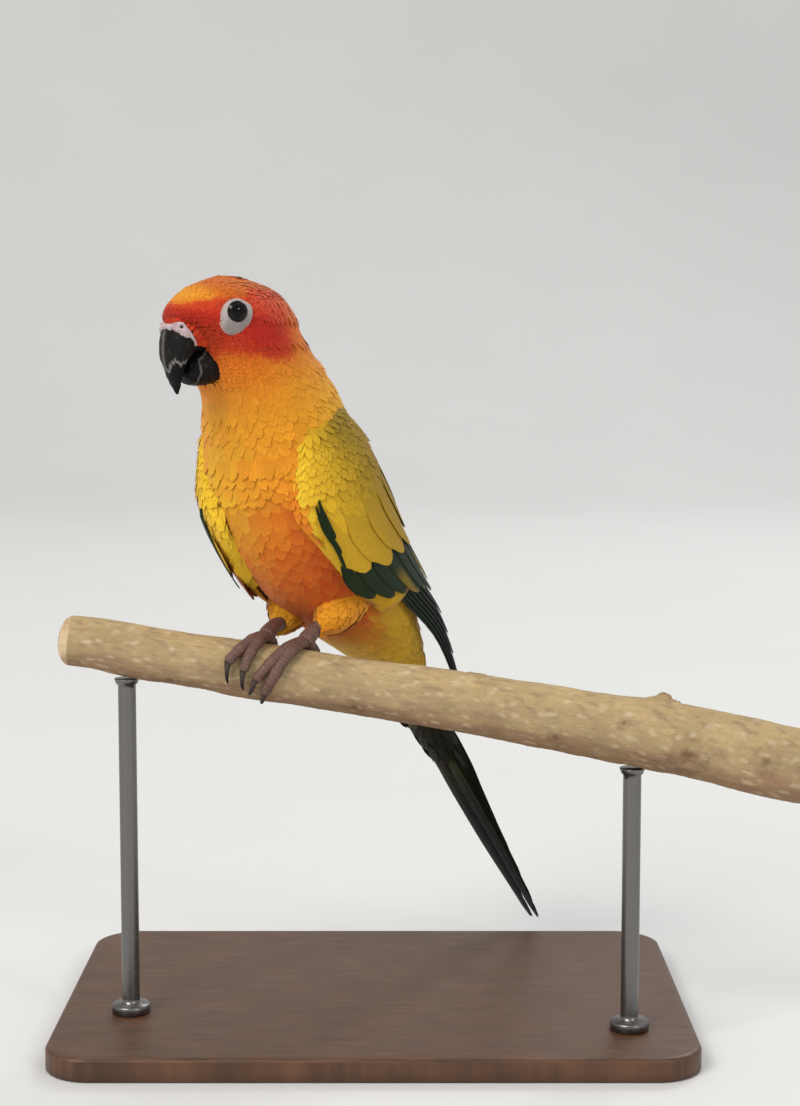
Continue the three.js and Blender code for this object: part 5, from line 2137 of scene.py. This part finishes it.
@dataclass(frozen=True)
class Foot:
    """A foot: the shank from the knee, four scaly toes round the branch, and their claws."""

    thigh: Thigh
    x: float
    toes: tuple[Toe, ...]
    angle: float = -6.0
    base: float = 2.15
    end: float = 1.6
    claw_base: float = 1.4
    claw_tip: float = 0.25
    arch: float = 1.3
    gap: float = 0.3

    def toe_path(self, toe: Toe, q: Array) -> tuple[Array, Array]:
        """The middle line and the radius of a toe: the toe to q = 1 and its claw from there to q = 2.

        Args:
            toe: the toe.
            q: places along it and its claw.

        Returns:
            The points and the radii.
        """
        past, inside = np.maximum(q - 1, 0), np.minimum(q, 1)
        angle = mix(self.angle, toe.angle, inside) + toe.claw * past
        x = mix(self.x, toe.x, inside) + toe.away * past
        claw = mix(self.claw_base, self.claw_tip, past)
        radius = np.where(past > 0, claw, mix(self.base, self.end, inside))
        height = self.gap + radius + self.arch * 0.9 * np.sin(math.pi * past)
        return BRANCH.point(x, np.radians(angle), height), radius

    def tube(self, path: Array, radius: Array, up: Array, tint: Array) -> Sheet:
        """A tube round a path, its places round it counted from up.

        Args:
            path: the middle line.
            radius: radii, point by place round.
            up: directions of the first place.
            tint: colours.

        Returns:
            The sheet.
        """
        way = unit(np.gradient(path, axis=0))
        over = unit(up - dot(up, way) * way)
        side = np.cross(way, over)
        turn = turns(radius.shape[1])
        ring = over[:, None] * np.cos(turn)[None, :, None] + side[:, None] * np.sin(turn)[None, :, None]
        run = distance(path)
        vane = np.stack(np.broadcast_arrays(turn * 2, run[:, None]), -1)
        return tube_sheet(path[:, None] + ring * radius[..., None], tint, vane)

    def scutes(self, run: Array, turn: Array, pitch: float) -> Array:
        """Overlapping plates on top: a saw of height over each pitch, fading to small grains below.

        Args:
            run: millimetres along.
            turn: angles from the top.
            pitch: a plate's length.

        Returns:
            The heights.
        """
        saw = (run / pitch) % 1
        plate = (0.17 * saw - 0.09) * smooth(-0.25, 0.35, np.cos(turn))
        grain = 0.06 * np.sin(run * 5.3) * np.sin(turn * 7) * smooth(-0.3, 0.3, -np.cos(turn))
        return plate + grain

    def skin(self) -> Sheet:
        """The shank and toes, with their scutes and swollen joints."""
        sheets = []
        mauve, rose, dark = paint(112, 82, 72), paint(130, 94, 82), paint(52, 38, 34)
        turn = turns(28)[None]
        for toe in self.toes:
            q = np.linspace(0, 1, 90)
            path, radius = self.toe_path(toe, q)
            up = BRANCH.above(path, mix(self.x, toe.x, q))
            run = distance(path)[:, None]
            joints = 0.22 * (bell(q, 0.36, 0.07) + bell(q, 0.68, 0.07) + bell(q, 0.95, 0.05))[:, None]
            tall = radius[:, None] * (1 - 0.08 * np.cos(turn) ** 2) + joints + self.scutes(run, turn, 1.15)
            end = np.sqrt(np.clip(1 - ((q - 0.97) / 0.035) ** 2, 0.1, 1))
            tall = tall * np.where(q > 0.97, end, 1)[:, None]
            line = 1 - smooth(0.0, 0.22, (run / 1.15) % 1)
            above, below = smooth(-0.3, 0.3, np.cos(turn)), smooth(-0.2, 0.6, -np.cos(turn))
            tint = blend(mauve, dark, 0.6 * line * above, rose, 0.5 * below)
            sheets.append(self.tube(path, tall, up, tint))
        sheets.append(self.shank(turn, mauve, dark))
        return joined(sheets)

    def shank(self, turn: Array, mauve: Array, dark: Array) -> Sheet:
        """The shank from inside the thigh's feathers to the toes' root."""
        hip, knee = from_bird(*self.thigh.hip), from_bird(*self.thigh.knee)
        ankle = BRANCH.point(np.array(self.x), np.array(math.radians(self.angle)), self.gap + self.base)
        bend = mix(knee, ankle, 0.5) + np.array([0, 1.5, 1.2])
        stops = np.stack([mix(knee, hip, 0.12), knee, bend, ankle])
        q = np.linspace(0, 3, 60)
        path = spline(stops, q)
        run = distance(path)[:, None]
        thick = np.interp(q, (0, 1, 2, 2.7, 3), (2.4, 2.45, 2.4, 2.9, 2.6))[:, None]
        radius = thick + self.scutes(run, turn, 1.3)
        line = 1 - smooth(0.0, 0.22, (run / 1.3) % 1)
        tint = blend(mauve, dark, 0.5 * line * smooth(-0.3, 0.3, np.cos(turn)))
        return self.tube(path, radius, np.broadcast_to([0.0, -1.0, 0.3], path.shape), tint)

    def claws(self) -> list[tuple[str, Sheet]]:
        """The claws by toe name: curved, flattened cones, darker to the tip."""
        made = []
        for toe in self.toes:
            q = np.linspace(0.97, 2, 40)
            path, _ = self.toe_path(toe, q)
            share = np.clip(q - 1, 0, 1)[:, None]
            turn = turns(20)[None]
            radius = mix(self.claw_base * 0.95, self.claw_tip, share**0.85) * (1 - 0.12 * np.sin(turn) ** 2)
            tint = blend(paint(74, 62, 58), paint(26, 22, 22), smooth(0.1, 0.8, share))
            up = BRANCH.above(path, np.full(len(q), toe.x))
            made.append((toe.name, self.tube(path, radius, up, tint)))
        return made

    def build(self, skin: Material, horn: Material) -> None:
        """Makes the foot and its claws."""
        word = self.thigh.name
        make_piece(f"foot_{word}_skin", self.skin(), skin, "foot_skin", (f"foot_{word}",))
        for name, sheet in self.claws():
            make_piece(f"claw_{word}_{name}_horn", sheet, horn, "claw_horn", (f"claw_{word}_{name}",))


FEET = (
    Foot(THIGHS[0], 8.0, (
        Toe("outer", -1.2, 118, 42, -1.5), Toe("inner", -4.6, 96, 42, -2.2),
        Toe("rear_outer", 15, -118, -40, 2), Toe("rear_inner", 8.5, -100, -40, 1),
    )),
    Foot(THIGHS[1], -5.0, (
        Toe("outer", -14.6, 74, 42, 0.8), Toe("inner", -9.2, 84, 42, 0.6),
        Toe("rear_outer", -8.5, -112, -40, -1.5), Toe("rear_inner", -1.2, -104, -40, -0.5),
    )),
)


# Stand


@dataclass(frozen=True)
class Stand:
    """The display stand: a rounded wooden base and two steel rods up to the branch."""

    width: float = 214.0
    depth: float = 146.0
    thick: float = 8.0
    edge: float = 1.5
    corner: float = 16.0
    rod: float = 3.0
    rods: tuple[float, ...] = (-50.0, 118.0)
    gap: float = 0.3

    def base(self) -> Sheet:
        """The base: a rounded rectangle, its upper edge a quarter round, rings from below to above."""
        turn = turns(128)
        corner_x = np.sign(np.cos(turn)) * (self.width / 2 - self.corner)
        corner_y = np.sign(np.sin(turn)) * (self.depth / 2 - self.corner)
        outline = np.stack([corner_x + self.corner * np.cos(turn), corner_y + self.corner * np.sin(turn)], -1)
        sweep = np.linspace(0, math.pi / 2, 7)
        inset = np.concatenate([[60, 1.0, 0.0, 0.0], self.edge * (1 - np.cos(sweep)), [4, 12, 24, 40, 60]])
        rounded = self.thick - self.edge + self.edge * np.sin(sweep)
        level = np.concatenate([[0, 0, 0.6, 4.0], rounded, [self.thick] * 5])
        scale = 1 - 2 * inset[:, None, None] / np.array([self.width, self.depth])
        flat = outline[None] * scale
        grid = np.concatenate([flat, np.broadcast_to(level[:, None, None], (*flat.shape[:2], 1))], -1)
        return tube_sheet(grid, paint(92, 62, 42), flat)

    def rod_sheet(self, x: float) -> Sheet:
        """A rod with a low collar on the base and a small cup under the branch."""
        middle = BRANCH.along(np.array(x))
        top = float(GRIP[2] + middle[2] - middle[3] - self.gap) + 1.6
        from_foot, from_top = (0, 0.2, 2.6, 3.2, 3.4, 5), (-6, -4.2, -4, -2.4, -2.2)
        z = np.concatenate([self.thick + np.array(from_foot), top + np.array(from_top)])
        radius = np.array([6.2, 6.5, 6.5, 6.2, self.rod, self.rod, self.rod, self.rod, 3.6, 4.2, 4.2])
        turn = turns(48)
        centre = np.array([x + GRIP[0], middle[1] + GRIP[1]])
        ring = np.stack([np.cos(turn), np.sin(turn)], -1)
        grid = centre + ring[None] * radius[:, None, None]
        grid = np.concatenate([grid, np.broadcast_to(z[:, None, None], (len(z), 48, 1))], -1)
        vane = np.stack(np.broadcast_arrays(turn[None] * 3, z[:, None]), -1)
        return tube_sheet(grid, paint(120, 118, 116), vane)

    def build(self, wood: Material, metal: Material) -> None:
        """Makes the base and rods."""
        make_piece("stand_plinth", self.base(), wood, "stand_wood", ("stand_base",))
        for k, x in enumerate(self.rods):
            node = f"stand_rod_{k + 1}"
            make_piece(f"stand_pillar_{k + 1}", self.rod_sheet(x), metal, "stand_metal", (node,))


# Room, light and camera


@dataclass(frozen=True)
class Lamp:
    """A soft square lamp: where it stands, what it looks at, its side and its power."""

    name: str
    at: Vector
    size: float
    power: float
    colour: Vector = (1.0, 1.0, 1.0)
    aim: Vector = (0.0, 0.0, 0.17)


@dataclass(frozen=True)
class Studio:
    """The floor, the lamps and the camera."""

    lamps: tuple[Lamp, ...] = (
        Lamp("key", (-1.9, -2.3, 2.7), 1.6, 96.0, (1.0, 0.965, 0.91)),
        Lamp("fill", (1.7, -2.1, 1.5), 0.5, 16.0, (0.94, 0.97, 1.0)),
        Lamp("rim", (1.0, 1.8, 2.0), 1.0, 20.0),
    )
    grey: Vector = (0.715, 0.715, 0.705)
    pale: Vector = (0.73, 0.73, 0.72)
    air: Vector = (0.93, 0.94, 0.95)
    glow: float = 0.6
    reach: float = 8.0
    wall: float = 2.2
    bend: float = 1.4
    lens: float = 68.35
    film: float = 36.0
    seat: Vector = (0.008667, -0.722019, 0.238619)
    tilt: float = 84.0

    def backdrop(self) -> bpy.types.Mesh:
        """The floor as one sheet, flat to the wall, up a quarter circle of radius bend, and straight on."""
        turn = np.linspace(0, math.pi / 2, 24)
        y = np.concatenate([[-self.reach], self.wall + self.bend * np.sin(turn), [self.wall + self.bend]])
        z = np.concatenate([[0], self.bend * (1 - np.cos(turn)), [self.reach]])
        points = np.stack([np.repeat([-self.reach, self.reach], len(y)), np.tile(y, 2), np.tile(z, 2)], -1)
        k = np.arange(len(y) - 1)
        mesh = bpy.data.meshes.new("floor")
        mesh.from_pydata(points.tolist(), [], np.stack([k, k + len(y), k + len(y) + 1, k + 1], -1).tolist())
        mesh.polygons.foreach_set("use_smooth", np.ones(len(k), bool))
        return mesh

    def build(self) -> None:
        """Makes the floor, the air's glow, the lamps and the camera."""
        material = bpy.data.materials.new("floor")
        material.use_nodes = True
        graph = Graph(material.node_tree)
        colour = graph.shade(graph.tone(graph.mottle(6.0), 0, 1), (*self.grey, 1), (*self.pale, 1))
        shader = graph.node("BsdfPrincipled", {"Base Color": colour, "Roughness": 0.7})
        graph.node("OutputMaterial", {"Surface": shader.outputs[0]})
        mesh = self.backdrop()
        mesh.materials.append(material)
        added("floor", mesh)
        world = bpy.data.worlds.new("air")
        world.use_nodes = True
        sky = world.node_tree.nodes["Background"].inputs
        sky[0].default_value, sky[1].default_value = (*self.air, 1), self.glow
        bpy.context.scene.world = world
        bpy.context.scene.view_settings.view_transform = "Standard"
        for lamp in self.lamps:
            light = bpy.data.lights.new(lamp.name, "AREA")
            light.size, light.energy, light.color = lamp.size, lamp.power, lamp.colour
            holder = added(lamp.name, light)
            holder.location = lamp.at
            x, y, z = unit(np.array(lamp.aim) - np.array(lamp.at))
            holder.rotation_euler = (-math.acos(-z), 0, math.atan2(-x, y) + math.pi)
        self.camera()

    def camera(self) -> None:
        """The camera at the photograph's viewing angle and framing."""
        camera = bpy.data.cameras.new("camera")
        camera.lens, camera.sensor_width, camera.clip_start = self.lens, self.film, 0.05
        holder = added("camera", camera)
        holder.location = self.seat
        holder.rotation_euler = (math.radians(self.tilt), 0, 0)
        bpy.context.scene.camera = holder


def main() -> None:
    """Builds the model's pieces in order."""
    logging.basicConfig(level=logging.INFO, format="%(message)s")
    feather = FeatherFinish("soft_feather", 0.68, 0.16).make()
    quill = FeatherFinish("quill_feather", 0.55, 0.22, 0.6, 0.35, sheen=0.04, contrast=0.22).make()
    under = FeatherFinish("down", 0.8, 0.1, contrast=0.05).make()
    Studio().build()
    Plumage().build(feather, under)
    for side in Side:
        Wing(side).build(feather, quill)
    Tail().build(feather, quill)
    bare = SkinFinish("bare_skin", 0.55, 0.35, cell=1500.0, depth=0.08, through=0.25).make()
    scaly = SkinFinish("scaly_skin", 0.5, 0.4, cell=1100.0, depth=0.14).make()
    horn = HornFinish("horn", 0.5, 0.12).make()
    gloss = EyeFinish("eye_gloss", 0.06, 0.14).make()
    for side in Side:
        Eye(side).build(gloss, bare)
    Bill().build(horn, bare, feather)
    BRANCH.build(WoodFinish("bare_branch", 0.75, 0.15, grain=0.14, stretch=5.0).make())
    for foot in FEET:
        foot.build(scaly, horn)
    Stand().build(
        WoodFinish("stand_walnut", rough=0.45, grain=0.5, depth=0.05, stretch=20.0).make(),
        MetalFinish("brushed_steel", rough=0.32).make(),
    )
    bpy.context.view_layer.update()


if __name__ == "__main__":
    main()
